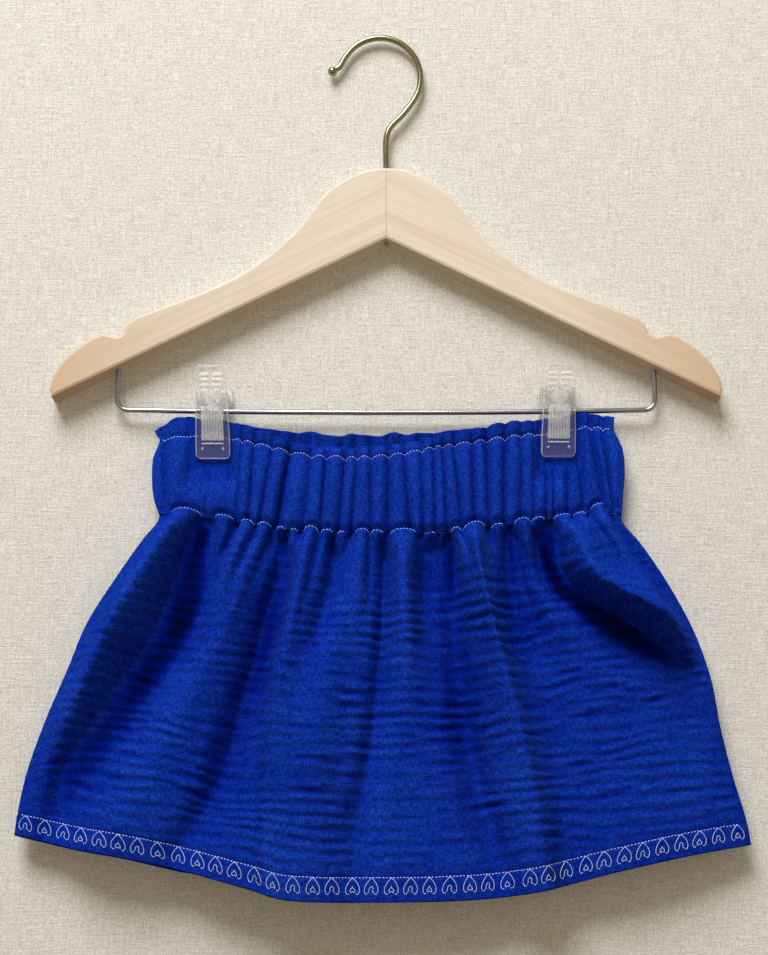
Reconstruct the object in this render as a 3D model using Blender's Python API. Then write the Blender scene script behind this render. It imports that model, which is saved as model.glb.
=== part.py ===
"""A child's gauze skirt hanging from a wooden clip hanger, modelled in millimetres and stored in metres.

The frame is the hanging one: +Z up, the front of the skirt faces -Y. The origin is the inside of the
hook's crown, where a rail bears, and everything below it hangs from there.
"""

import math

import bmesh
import bpy

MM = 0.001
SEAM_GAP = 0.3
HALF_GAP = SEAM_GAP / 2

# Hook, bent from brass wire round an opening a little taller than wide
HOOK_WIRE = 3.3
HOOK_HALF_WIDTH = 21.7
HOOK_HALF_HEIGHT = 23.1
HOOK_FLARE = (-21.4, -12.5)
HOOK_TIP = (-24.4, -16.0)
HOOK_TIP_BALL = 5.4
BALL_SECTIONS = (-0.6, -0.3, 0.0, 0.45, 0.75, 0.93, 0.995)
STEM_RECESS = 4.0
HOOK_STEP = 3.0

# Hanger, two mitred arms of pale wood
HANGER_X = 3.3
ARM_THICKNESS = 15.0
ARM_EDGE_ROUND = 1.6
ARM_TOP_Z = -75.0
ARM_APEX_Z = -114.5
ARM_UNDERSIDE_SLOPE = 0.497
ARM_TOP_OUTLINE = (
    # out from the middle, height
    (0.0, ARM_TOP_Z),
    (10.0, -76.0),
    (23.5, -82.5),
    (34.0, -91.2),
    (46.0, -108.2),
    (60.0, -122.0),
    (78.0, -134.8),
    (98.0, -144.2),
    (126.0, -155.4),
    (133.6, -160.0),
    (135.6, -165.2),
    (139.6, -167.3),
    (146.3, -165.6),
    (154.5, -169.8),
    (164.8, -178.4),
    (171.0, -188.0),
    (172.8, -195.2),
)
ARM_TIP_X = 171.6
ARM_OUTLINE_STEPS = 2

# Chrome bar, bent down out of the arms and back, with a slight sag
BAR_WIRE = 2.7
BAR_HALF_SPAN = 138.6
BAR_END_Z = -204.8
BAR_SAG = 1.4
BAR_BEND = 5.3
BAR_INSERT_TOP_Z = -172.5
BAR_BORE_TOP_Z = -171.0
BORE_OVERRUN = 12.0

# Clear clips, two jaws each on a hub round the bar
CLIP_HUB_RADIUS = 3.2
CLIP_HUB_LENGTH = 9.0
CLIP_CORNER = 0.6
CLIPS = (
    # name, middle of the clip, lift of the clip on the cloth
    ("clip_left", -86.0, 0.0),
    ("clip_right", 91.6, 1.0),
)
JAW_SECTIONS = (
    # above the bar, inner face, outer face, half width in front, half width behind
    (22.4, 7.6, 9.4, 7.7, 7.7),
    (14.0, 6.9, 9.1, 8.0, 9.8),
    (5.0, 4.4, 7.2, 8.1, 10.4),
    (-4.0, 4.1, 6.9, 8.3, 10.2),
    (-8.5, 3.6, 6.3, 8.6, 8.7),
    (-13.0, 3.05, 5.5, 8.8, 8.8),
    (-26.0, 3.05, 5.2, 8.8, 8.8),
)

# Gauze walls
BAND_WALL = 2.6
PANEL_WALL = 1.6
HEM_WALL = 2.2
HEM_SHARE = 0.935
CLIP_GRIP_HALF = 10.0
CLIP_GRIP_FADE = 16.0
CLIP_GRIP_BOTTOM_Z = -234.0
CLIP_GRIP_DROP = 22.0
CLIP_GRIP_LOSS = 0.75
SWELL_POWERS = (2.6, 0.75)

WAIST_LINES = (
    # x, front heading top, front upper row, front lower row, back heading top, back upper, back lower
    (-116.0, -216.8, -222.3, -257.6, -216.8, -222.3, -257.6),
    (-104.0, -209.4, -217.6, -256.0, -209.2, -217.4, -256.2),
    (-86.0, -210.4, -218.6, -259.2, -210.0, -218.2, -258.0),
    (-62.0, -217.2, -224.6, -263.4, -213.6, -220.8, -260.4),
    (-33.0, -223.2, -230.4, -266.8, -217.2, -224.0, -262.6),
    (0.0, -223.8, -230.2, -268.4, -218.0, -224.6, -263.0),
    (35.0, -218.4, -225.0, -266.6, -215.6, -222.4, -262.0),
    (62.0, -214.2, -221.6, -262.8, -212.8, -220.0, -260.2),
    (91.0, -210.0, -217.6, -259.0, -209.8, -217.2, -257.8),
    (106.0, -207.2, -215.2, -255.6, -207.2, -215.2, -256.0),
    (125.0, -209.4, -217.0, -259.0, -209.4, -217.0, -259.0),
)
HEM_LINES = (
    # x, front hem, back hem
    (-179.4, -420.0, -420.4),
    (-150.0, -426.8, -429.6),
    (-125.0, -431.4, -434.2),
    (-98.0, -436.8, -439.0),
    (-62.0, -446.4, -445.6),
    (-44.0, -451.2, -448.6),
    (0.0, -452.2, -451.2),
    (46.0, -451.0, -450.4),
    (77.0, -447.2, -446.6),
    (116.0, -437.8, -437.6),
    (150.0, -430.4, -430.2),
    (182.3, -424.8, -424.8),
)
BAND_SECTIONS = (
    # share of the band's height, left side, right side, front swell, back swell
    (-0.20, -115.6, 120.6, 7.2, 6.4),
    (-0.10, -114.4, 120.2, 6.8, 6.0),
    (0.00, -112.8, 120.4, 6.2, 5.6),
    (0.22, -115.8, 124.4, 7.0, 6.2),
    (0.50, -116.2, 125.0, 7.2, 6.4),
    (0.78, -115.0, 123.8, 7.0, 6.2),
    (1.00, -112.2, 123.0, 6.6, 5.8),
)
HEADING_SHARE = -0.20
PANEL_SECTIONS = (
    # share of the fall, left side, right side, front swell, back swell
    (0.00, -112.0, 122.8, 6.6, 5.8),
    (0.03, -113.4, 125.6, 7.4, 6.4),
    (0.08, -120.8, 134.6, 8.8, 7.4),
    (0.20, -133.2, 147.6, 10.6, 8.8),
    (0.35, -147.2, 158.6, 12.0, 9.8),
    (0.50, -156.6, 165.4, 13.0, 10.6),
    (0.65, -166.2, 169.4, 13.8, 11.2),
    (0.80, -174.2, 174.8, 14.4, 11.6),
    (0.92, -178.0, 180.2, 14.8, 11.8),
    (1.00, -179.4, 182.3, 15.0, 12.0),
)
BAND_ROWS = (-0.20, -0.09, 0.0, 0.06, 0.30, 0.70, 1.0)
PANEL_ROWS = (0.0, 0.025, 0.06, 0.11, 0.18, 0.26, 0.35, 0.45, 0.55, 0.65, 0.75, 0.85, 0.93, 0.94, 1.0)
PANEL_COLUMNS = 52

FRONT_GATHERS = (
    # valley at the upper row, valley at the lower row, depth
    (-106.6, -105.8, 0.7),
    (-97.4, -98.4, 0.5),
    (-86.0, -88.0, 0.5),
    (-76.0, -78.0, 0.6),
    (-70.4, -72.8, 1.0),
    (-64.0, -66.4, 1.4),
    (-54.6, -61.0, 1.6),
    (-46.0, -52.4, 2.2),
    (-34.6, -38.4, 1.6),
    (-27.2, -30.2, 1.6),
    (-17.4, -20.6, 1.8),
    (-11.2, -14.2, 1.5),
    (-4.4, -4.6, 1.6),
    (4.8, 4.2, 1.9),
    (12.6, 16.0, 1.8),
    (21.6, 22.4, 1.6),
    (27.8, 28.2, 1.5),
    (32.2, 34.4, 1.4),
    (37.8, 41.8, 1.7),
    (47.4, 48.4, 1.8),
    (54.6, 55.4, 1.7),
    (64.2, 62.8, 2.0),
    (72.6, 71.6, 1.3),
    (80.6, 80.2, 0.7),
    (91.6, 91.2, 0.5),
    (101.0, 102.4, 0.8),
    (107.6, 112.6, 1.8),
    (115.0, 118.4, 1.2),
)
BACK_GATHERS = 28
BACK_GATHER_MARGIN = 3.5
BACK_GATHER_DEPTH = 1.4
BACK_GATHER_DRIFT = 1.5
BACK_UNEVENNESS = 0.35
CROWN_POWER = 0.7
GATHER_PARTS = (0.0, 0.3, 0.7)
FRILL_DEEPENING = 1.25
FULL_RELIEF_STAND = 1.5

FRONT_PUFFS = (
    # middle at the seam, half width, height, length as a share of the fall
    (-97.0, 8.5, 4.8, 0.30),
    (-80.5, 7.0, 3.6, 0.16),
    (-65.0, 6.0, 3.4, 0.20),
    (-53.5, 4.6, 3.6, 0.18),
    (-41.5, 6.0, 4.2, 0.26),
    (-30.5, 4.6, 3.0, 0.14),
    (-15.0, 7.0, 3.4, 0.22),
    (0.5, 6.5, 3.0, 0.18),
    (11.5, 4.4, 2.4, 0.12),
    (22.5, 6.4, 3.2, 0.20),
    (34.0, 4.8, 2.6, 0.14),
    (45.5, 6.0, 3.8, 0.22),
    (62.0, 6.6, 2.8, 0.14),
    (76.5, 7.6, 3.6, 0.22),
    (92.0, 7.0, 3.0, 0.16),
    (109.5, 7.5, 4.6, 0.26),
)
BACK_PUFFS = 16
BACK_PUFF_MARGIN = 8.0
BACK_PUFF_HALF_WIDTH = 6.2
BACK_PUFF_HEIGHT = 3.0
BACK_PUFF_LENGTH = 0.18
BACK_PUFF_DRIFT = 1.8
PUFF_RISE = 0.035

FRONT_FOLDS = (
    # x at the top, middle and hem, height there, reach to the left and to the right
    ("left side ridge", (-100.0, -137.0, -170.0), (6.0, 7.0, 3.5), 13.0, 11.0),
    ("left side valley", (-88.0, -117.0, -150.0), (-6.0, -8.5, -3.0), 11.0, 16.0),
    ("left valley", (-53.0, -68.0, -97.0), (-5.0, -7.5, -5.5), 20.0, 8.0),
    ("left of centre edge", (-38.0, -53.0, -50.0), (4.5, 5.5, 6.5), 5.0, 46.0),
    ("centre crease", (3.0, 4.0, 6.0), (-2.0, -1.5, -0.8), 6.0, 6.0),
    ("right of centre crease", (18.0, 18.0, 20.0), (-2.0, -1.8, -0.8), 5.0, 6.0),
    ("right of centre valley", (39.0, 42.0, 54.0), (-3.0, -3.4, -2.5), 8.0, 7.0),
    ("right of centre fold", (46.0, 54.0, 78.0), (6.0, 7.0, 7.0), 16.0, 5.0),
    ("right side valley", (76.0, 140.0, 172.0), (-5.0, -9.0, 0.0), 24.0, 12.0),
    ("right side ridge", (113.0, 162.0, 184.0), (6.0, 5.0, 0.0), 11.0, 10.0),
)
BACK_FOLDS = (
    ("left side ridge", (-96.0, -132.0, -164.0), (4.5, 5.5, 3.0), 13.0, 12.0),
    ("left valley", (-74.0, -96.0, -118.0), (-4.0, -5.0, -3.0), 15.0, 15.0),
    ("left of centre fold", (-40.0, -52.0, -72.0), (4.0, 5.0, 4.5), 7.0, 15.0),
    ("centre valley", (-6.0, -8.0, -10.0), (-3.0, -3.5, -2.4), 13.0, 13.0),
    ("right of centre fold", (30.0, 36.0, 52.0), (4.0, 4.6, 4.8), 14.0, 6.0),
    ("right valley", (66.0, 88.0, 112.0), (-4.0, -5.0, -3.0), 17.0, 14.0),
    ("right side ridge", (104.0, 138.0, 166.0), (4.5, 5.0, 3.0), 12.0, 12.0),
)
FOLD_ONSET = 0.10
SIDE_CALM = 0.05

MATERIALS = {
    # colour, roughness, metallic
    "blue_gauze": ((0.010, 0.045, 0.330), 0.90, 0.0),
    "pale_wood": ((0.760, 0.600, 0.420), 0.60, 0.0),
    "brass": ((0.560, 0.430, 0.170), 0.30, 1.0),
    "chrome": ((0.660, 0.660, 0.650), 0.18, 1.0),
    "clear_plastic": ((0.860, 0.870, 0.870), 0.15, 0.0),
}


def clear_scene():
    for existing in list(bpy.data.objects):
        bpy.data.objects.remove(existing, do_unlink=True)


def material(name):
    found = bpy.data.materials.get(name)
    if found:
        return found
    colour, roughness, metallic = MATERIALS[name]
    made = bpy.data.materials.new(name)
    made.use_nodes = True
    shader = made.node_tree.nodes["Principled BSDF"]
    shader.inputs["Base Color"].default_value = (*colour, 1.0)
    shader.inputs["Roughness"].default_value = roughness
    shader.inputs["Metallic"].default_value = metallic
    return made


def link(name, data, material_name):
    made = bpy.data.objects.new(name, data)
    data.materials.append(material(material_name))
    bpy.context.scene.collection.objects.link(made)
    return made


def object_from(name, mesh_in_mm, material_name, sharp_angle=40.0):
    """Closes a bmesh into an object, with its faces turned outwards and its points in metres."""
    bmesh.ops.recalc_face_normals(mesh_in_mm, faces=mesh_in_mm.faces)
    bmesh.ops.scale(mesh_in_mm, vec=(MM, MM, MM), verts=mesh_in_mm.verts)
    mesh = bpy.data.meshes.new(name)
    mesh_in_mm.to_mesh(mesh)
    mesh_in_mm.free()
    mesh.shade_smooth()
    mesh.set_sharp_from_angle(angle=math.radians(sharp_angle))
    return link(name, mesh, material_name)


def smooth_step(value):
    held = min(max(value, 0.0), 1.0)
    return held * held * (3.0 - 2.0 * held)


def read_along(rows, column, at):
    """A smooth curve through one column of a table, whose first column is the place along it."""
    places = [row[0] for row in rows]
    values = [row[column] for row in rows]
    at = min(max(at, places[0]), places[-1])
    last = len(rows) - 2
    index = min(max(sum(place <= at for place in places) - 1, 0), last)

    def slope(point):
        before = max(point - 1, 0)
        after = min(point + 1, len(rows) - 1)
        return (values[after] - values[before]) / (places[after] - places[before])

    span = places[index + 1] - places[index]
    share = (at - places[index]) / span
    rise = values[index + 1] - values[index]
    start = slope(index) * span
    end = slope(index + 1) * span
    return values[index] + share * (
        start + share * (3 * rise - 2 * start - end + share * (start + end - 2 * rise))
    )


def curve_between(before, start, end, after, share):
    """A point between start and end on the smooth curve through all four."""
    point = []
    for b, s, e, a in zip(before, start, end, after):
        bend = 2 * b - 5 * s + 4 * e - a
        twist = 3 * s - b - 3 * e + a
        point.append(s + share * ((e - b) + share * (bend + share * twist)) / 2)
    return tuple(point)


def smooth_path(points, step):
    """Points about a step apart on a smooth curve through the given (x, z) points."""
    path = []
    for index in range(len(points) - 1):
        before = points[max(index - 1, 0)]
        start = points[index]
        end = points[index + 1]
        after = points[min(index + 2, len(points) - 1)]
        count = max(1, round(math.dist(start, end) / step))
        for part in range(count):
            path.append(curve_between(before, start, end, after, part / count))
    path.append(points[-1])
    return path


def wire(name, path, diameter, material_name, swellings=None):
    """A round wire with closed ends along (x, z) points, thicker where a swelling is given."""
    curve = bpy.data.curves.new(name, "CURVE")
    curve.dimensions = "3D"
    curve.bevel_depth = diameter / 2 * MM
    curve.bevel_resolution = 2
    curve.use_fill_caps = True
    spline = curve.splines.new("POLY")
    spline.points.add(len(path) - 1)
    for index, (x, z) in enumerate(path):
        spline.points[index].co = (x * MM, 0.0, z * MM, 1.0)
        spline.points[index].radius = swellings[index] if swellings else 1.0
    spline.use_smooth = True
    return link(name, curve, material_name)


def make_hook():
    wire_radius = HOOK_WIRE / 2
    centre_z = wire_radius - HOOK_HALF_HEIGHT
    stem_foot = (HANGER_X, ARM_APEX_Z + STEM_RECESS)
    rising = [stem_foot, (HANGER_X, -92.0), (HANGER_X, -72.0), (HANGER_X, -57.0), (5.6, -49.6), (12.2, -42.4)]
    turns = [math.radians(degrees) for degrees in range(-32, 149, 18)]
    arc = [
        (HOOK_HALF_WIDTH * math.cos(turn), centre_z + HOOK_HALF_HEIGHT * math.sin(turn)) for turn in turns
    ]
    tip = HOOK_TIP
    path = smooth_path(rising + arc + [HOOK_FLARE, tip], HOOK_STEP)
    swellings = [1.0] * len(path)
    run = math.dist(tip, path[-2])
    heading = ((tip[0] - path[-2][0]) / run, (tip[1] - path[-2][1]) / run)
    ball = HOOK_TIP_BALL / 2
    neck = math.sqrt(ball**2 - wire_radius**2)
    for share in BALL_SECTIONS:
        along = neck + share * ball
        path.append((tip[0] + heading[0] * along, tip[1] + heading[1] * along))
        swellings.append(ball * math.sqrt(1 - share**2) / wire_radius)
    return wire("hook", path, HOOK_WIRE, "brass", swellings)


def arm_outline():
    """The arm's outline from the mitre outwards, as (out from the middle, height)."""
    top = []
    for index in range(len(ARM_TOP_OUTLINE) - 1):
        start = ARM_TOP_OUTLINE[index][0]
        end = ARM_TOP_OUTLINE[index + 1][0]
        for part in range(ARM_OUTLINE_STEPS):
            out = start + (end - start) * part / ARM_OUTLINE_STEPS
            top.append((max(out, HALF_GAP), read_along(ARM_TOP_OUTLINE, 1, out)))
    top.append(ARM_TOP_OUTLINE[-1])
    tip = (ARM_TIP_X, ARM_APEX_Z - ARM_UNDERSIDE_SLOPE * ARM_TIP_X)
    return top + [tip, (HALF_GAP, ARM_APEX_Z)]


def bore(name, x, low, high, radius):
    """A cutter along Z that leaves a wire its clearance."""
    mesh = bmesh.new()
    bmesh.ops.create_cone(
        mesh, cap_ends=True, segments=16, radius1=radius, radius2=radius, depth=high - low
    )
    bmesh.ops.translate(mesh, vec=(x, 0.0, (low + high) / 2), verts=mesh.verts)
    cutter = object_from(name, mesh, "pale_wood")
    cutter.hide_render = True
    cutter.display_type = "WIRE"
    return cutter


def cut(target, cutter):
    modifier = target.modifiers.new(cutter.name, "BOOLEAN")
    modifier.operation = "DIFFERENCE"
    modifier.object = cutter


def make_arm(name, side, stem_bore):
    mesh = bmesh.new()
    half = ARM_THICKNESS / 2
    outline = [(HANGER_X + side * out, z) for out, z in arm_outline()]
    face = mesh.faces.new([mesh.verts.new((x, -half, z)) for x, z in outline])
    swept = bmesh.ops.extrude_face_region(mesh, geom=[face])
    moved = [item for item in swept["geom"] if isinstance(item, bmesh.types.BMVert)]
    bmesh.ops.translate(mesh, vec=(0.0, ARM_THICKNESS, 0.0), verts=moved)
    at_mitre = HANGER_X + side * HALF_GAP
    rims = [
        edge
        for edge in mesh.edges
        if abs(edge.verts[0].co.y - edge.verts[1].co.y) < 0.1
        and not all(abs(vert.co.x - at_mitre) < 0.01 for vert in edge.verts)
    ]
    bmesh.ops.bevel(mesh, geom=rims, offset=ARM_EDGE_ROUND, segments=2, profile=0.5, affect="EDGES")
    arm = object_from(name, mesh, "pale_wood", 30.0)
    cut(arm, stem_bore)
    bar_x = HANGER_X + side * BAR_HALF_SPAN
    mouth_z = ARM_APEX_Z - ARM_UNDERSIDE_SLOPE * BAR_HALF_SPAN - BORE_OVERRUN
    cut(arm, bore(name + "_bar_bore", bar_x, mouth_z, BAR_BORE_TOP_Z, BAR_WIRE / 2 + SEAM_GAP))
    return arm


def make_bar():
    flat_half = BAR_HALF_SPAN - BAR_BEND
    bend_turns = [math.radians(degrees) for degrees in range(0, 91, 18)]
    level = [
        (x, BAR_END_Z - BAR_SAG * (1 - (x / flat_half) ** 2))
        for x in (flat_half * step / 8 for step in range(-7, 8))
    ]
    left_bend = [
        (-flat_half - BAR_BEND * math.cos(turn), BAR_END_Z + BAR_BEND - BAR_BEND * math.sin(turn))
        for turn in bend_turns
    ]
    right_bend = [(-x, z) for x, z in reversed(left_bend)]
    left_end = [(-BAR_HALF_SPAN, BAR_INSERT_TOP_Z)]
    right_end = [(BAR_HALF_SPAN, BAR_INSERT_TOP_Z)]
    path = left_end + left_bend + level + right_bend + right_end
    return wire("clip_bar", [(HANGER_X + x, z) for x, z in path], BAR_WIRE, "chrome")


def bar_height(x):
    flat_half = BAR_HALF_SPAN - BAR_BEND
    return BAR_END_Z - BAR_SAG * (1 - ((x - HANGER_X) / flat_half) ** 2)


def make_jaw(name, middle, lift, facing):
    """One jaw as a stack of flat sections, facing -1 in front and +1 behind."""
    mesh = bmesh.new()
    loops = []
    for above, inner, outer, front_half, back_half in JAW_SECTIONS:
        half = front_half if facing < 0 else back_half
        z = bar_height(middle) + above + lift
        corners = ((-half, inner), (half, inner), (half, outer), (-half, outer))
        loops.append([mesh.verts.new((middle + x, facing * y, z)) for x, y in corners])
    for upper, lower in zip(loops, loops[1:]):
        for index in range(4):
            after = (index + 1) % 4
            mesh.faces.new((upper[index], upper[after], lower[after], lower[index]))
    mesh.faces.new(loops[0])
    mesh.faces.new(list(reversed(loops[-1])))
    long_edges = [
        edge
        for edge in mesh.edges
        if abs(edge.verts[0].co.z - edge.verts[1].co.z) > 0.1
        or edge.verts[0] in loops[0]
        or edge.verts[0] in loops[-1]
    ]
    bmesh.ops.bevel(mesh, geom=long_edges, offset=CLIP_CORNER, segments=1, affect="EDGES")
    return object_from(name, mesh, "clear_plastic")


def make_hub(name, middle):
    """The sleeve round the bar that the two jaws rock on."""
    mesh = bmesh.new()
    sides = 16
    z = bar_height(middle)
    half = CLIP_HUB_LENGTH / 2
    bore_radius = BAR_WIRE / 2 + SEAM_GAP
    profile = ((-half, bore_radius), (-half, CLIP_HUB_RADIUS), (half, CLIP_HUB_RADIUS), (half, bore_radius))
    rings = []
    for x, radius in profile:
        turns = [2 * math.pi * side / sides for side in range(sides)]
        rings.append(
            [
                mesh.verts.new((middle + x, radius * math.cos(turn), z + radius * math.sin(turn)))
                for turn in turns
            ]
        )
    for index, ring in enumerate(rings):
        following = rings[(index + 1) % len(rings)]
        for side in range(sides):
            after = (side + 1) % sides
            mesh.faces.new((ring[side], ring[after], following[after], following[side]))
    return object_from(name, mesh, "clear_plastic")


def grip(x, z):
    """1 where the clips press the band flat, 0 well away from them."""
    nearest = min(abs(x - middle) for _, middle, _ in CLIPS)
    sideways = 1 - smooth_step((nearest - CLIP_GRIP_HALF) / CLIP_GRIP_FADE)
    below = 1 - CLIP_GRIP_LOSS * smooth_step((CLIP_GRIP_BOTTOM_Z - z) / CLIP_GRIP_DROP)
    return sideways * below


def swell_shape(share):
    """How far a wall stands off between its two side seams, from 0 at a seam to 1."""
    out = abs(2 * share - 1)
    squareness, edge = SWELL_POWERS
    return (1 - out**squareness) ** edge


def uneven(index, pace):
    """A number from -1 to 1 that wanders from one index to the next, the same on each run."""
    return math.sin(pace * index + pace)


def spread_out(index, count, margin):
    """The middle of one of a number of even shares of the seam, clear of its ends by a margin."""
    left = PANEL_SECTIONS[0][1] + margin
    right = PANEL_SECTIONS[0][2] - margin
    return left + (right - left) * (index + 0.5) / count


def back_gathers():
    """Valleys for the back of the band, as uneven in spacing and depth as those in front."""
    rows = []
    for index in range(BACK_GATHERS):
        middle = spread_out(index, BACK_GATHERS, BACK_GATHER_MARGIN)
        upper = middle + BACK_GATHER_DRIFT * uneven(index, 2.4)
        lower = middle + BACK_GATHER_DRIFT * uneven(index, 3.1)
        rows.append((upper, lower, BACK_GATHER_DEPTH * (1 + BACK_UNEVENNESS * uneven(index, 1.7))))
    return rows


def back_puffs():
    """Puffs under the back of the band, worked out like its gathers."""
    rows = []
    for index in range(BACK_PUFFS):
        middle = spread_out(index, BACK_PUFFS, BACK_PUFF_MARGIN) + BACK_PUFF_DRIFT * uneven(index, 2.1)
        half_width = BACK_PUFF_HALF_WIDTH * (1 + 0.5 * BACK_UNEVENNESS * uneven(index, 2.7))
        height = BACK_PUFF_HEIGHT * (1 + BACK_UNEVENNESS * uneven(index, 1.3))
        length = BACK_PUFF_LENGTH * (1 + BACK_UNEVENNESS * uneven(index, 1.9))
        rows.append((middle, half_width, height, length))
    return rows


def band_height(front, share, x):
    """Height in the band at a share of its depth, where 0 is the upper row and 1 the lower one."""
    heading, upper, lower = (1, 2, 3) if front else (4, 5, 6)
    upper_z = read_along(WAIST_LINES, upper, x)
    if share < 0:
        return upper_z + (read_along(WAIST_LINES, heading, x) - upper_z) * share / HEADING_SHARE
    lower_z = read_along(WAIST_LINES, lower, x) + HALF_GAP
    return upper_z + (lower_z - upper_z) * share


def gather_columns(gathers, left, right, down):
    """(x, dip) across the band: a column in each valley and two on the crown after it."""
    valleys = [(left, 0.0)]
    valleys += [(top + (bottom - top) * down, depth) for top, bottom, depth in gathers]
    valleys += [(right, 0.0)]
    columns = []
    for (start, start_depth), (end, end_depth) in zip(valleys, valleys[1:]):
        for part in GATHER_PARTS:
            depth = start_depth + (end_depth - start_depth) * part
            crown = math.sin(math.pi * part) ** CROWN_POWER
            columns.append((start + (end - start) * part, depth * (1 - crown)))
    return columns + [valleys[-1]]


def make_band(name, front):
    """Half of the waist casing with its heading frill: gathers are columns that follow their valleys."""
    gathers = FRONT_GATHERS if front else back_gathers()
    facing = -1 if front else 1
    swell_column = 3 if front else 4
    outer = []
    inner = []
    for share in BAND_ROWS:
        left = read_along(BAND_SECTIONS, 1, share)
        right = read_along(BAND_SECTIONS, 2, share)
        swell = read_along(BAND_SECTIONS, swell_column, share)
        down = max(share, 0.0)
        deepening = FRILL_DEEPENING if share < 0 else 1.0
        outer_row = []
        inner_row = []
        for x, dip in gather_columns(gathers, left, right, down):
            z = band_height(front, share, x)
            loose = 1 - grip(x, z)
            stand = swell * swell_shape((x - left) / (right - left)) * loose
            relief = dip * deepening * loose * min(1.0, stand / FULL_RELIEF_STAND)
            y = HALF_GAP + BAND_WALL + max(stand - relief, 0.0)
            outer_row.append((x, facing * y, z))
            inner_row.append((x, facing * (y - BAND_WALL), z))
        outer.append(outer_row)
        inner.append(inner_row)
    return wall(name, outer, inner)


def three_point(values, share):
    """A smooth value from its top, middle and foot."""
    top, middle, foot = values
    bend = 2 * (top + foot - 2 * middle)
    return top + (foot - top - bend) * share + bend * share**2


def fold_height(folds, x, share):
    total = 0.0
    for _, places, heights, reach_left, reach_right in folds:
        away = x - three_point(places, share)
        reach = reach_left if away < 0 else reach_right
        total += three_point(heights, share) * math.exp(-((away / reach) ** 2))
    return total * smooth_step(share / FOLD_ONSET)


def puff_height(puffs, x_at_seam, share):
    rise = smooth_step(share / PUFF_RISE)
    total = 0.0
    for middle, half_width, height, length in puffs:
        away = (x_at_seam - middle) / half_width
        total += height * math.exp(-(away**2)) * rise * math.exp(-((share / length) ** 2))
    return total


def make_panel(name, front):
    """Half of the gathered skirt, from the seam under the band to the turned hem."""
    facing = -1 if front else 1
    folds = FRONT_FOLDS if front else BACK_FOLDS
    puffs = FRONT_PUFFS if front else back_puffs()
    swell_column = 3 if front else 4
    seam_column = 3 if front else 6
    hem_column = 1 if front else 2
    seam_left = PANEL_SECTIONS[0][1]
    seam_right = PANEL_SECTIONS[0][2]
    outer = []
    inner = []
    for share in PANEL_ROWS:
        left = read_along(PANEL_SECTIONS, 1, share)
        right = read_along(PANEL_SECTIONS, 2, share)
        swell = read_along(PANEL_SECTIONS, swell_column, share)
        turned = share > HEM_SHARE
        thickness = HEM_WALL if turned else PANEL_WALL
        step = HEM_WALL - PANEL_WALL if turned else 0.0
        outer_row = []
        inner_row = []
        for column in range(PANEL_COLUMNS + 1):
            across = column / PANEL_COLUMNS
            x = left + (right - left) * across
            seam_x = seam_left + (seam_right - seam_left) * across
            hem_x = HEM_LINES[0][0] + (HEM_LINES[-1][0] - HEM_LINES[0][0]) * across
            seam_z = read_along(WAIST_LINES, seam_column, seam_x) - HALF_GAP
            hem_z = read_along(HEM_LINES, hem_column, hem_x)
            z = seam_z + (hem_z - seam_z) * share
            calm = smooth_step(min(across, 1 - across) / SIDE_CALM)
            relief = fold_height(folds, x, share) + puff_height(puffs, seam_x, share)
            stand = max(swell * swell_shape(across) + relief * calm, 0.0)
            y = HALF_GAP + PANEL_WALL + stand + step
            outer_row.append((x, facing * y, z))
            inner_row.append((x, facing * (y - thickness), z))
        outer.append(outer_row)
        inner.append(inner_row)
    return wall(name, outer, inner)


def wall(name, outer, inner):
    """A closed cloth wall between an outer and an inner grid of points."""
    mesh = bmesh.new()
    shells = [[[mesh.verts.new(point) for point in row] for row in grid] for grid in (outer, inner)]
    rows = len(outer)
    columns = len(outer[0])
    for shell in shells:
        for row in range(rows - 1):
            for column in range(columns - 1):
                corners = (
                    shell[row][column],
                    shell[row][column + 1],
                    shell[row + 1][column + 1],
                    shell[row + 1][column],
                )
                mesh.faces.new(corners)
    rim = [(0, column) for column in range(columns)]
    rim += [(row, columns - 1) for row in range(1, rows)]
    rim += [(rows - 1, column) for column in range(columns - 2, -1, -1)]
    rim += [(row, 0) for row in range(rows - 2, 0, -1)]
    for here, following in zip(rim, rim[1:] + rim[:1]):
        mesh.faces.new(
            (
                shells[0][here[0]][here[1]],
                shells[0][following[0]][following[1]],
                shells[1][following[0]][following[1]],
                shells[1][here[0]][here[1]],
            )
        )
    return object_from(name, mesh, "blue_gauze", 60.0)


def build():
    clear_scene()
    make_hook()
    stem_radius = HOOK_WIRE / 2 + SEAM_GAP
    stem_bore = bore("stem_bore", HANGER_X, ARM_APEX_Z - BORE_OVERRUN, ARM_TOP_Z + BORE_OVERRUN, stem_radius)
    make_arm("hanger_arm_left", -1, stem_bore)
    make_arm("hanger_arm_right", 1, stem_bore)
    make_bar()
    for name, middle, lift in CLIPS:
        make_jaw(name + "_front_jaw", middle, lift, -1)
        make_jaw(name + "_back_jaw", middle, lift, 1)
        make_hub(name + "_hub", middle)
    make_band("waistband_front", True)
    make_band("waistband_back", False)
    make_panel("panel_front", True)
    make_panel("panel_back", False)


build()
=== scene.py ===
"""A child's royal blue double gauze skirt on its wooden clip hanger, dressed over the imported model.

Sizes are millimetres in the part's frame: the origin is the inside of the hook's crown, +Z is up and the
front of the skirt faces -Y. They become metres only when a mesh is made.
"""

import math

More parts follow.
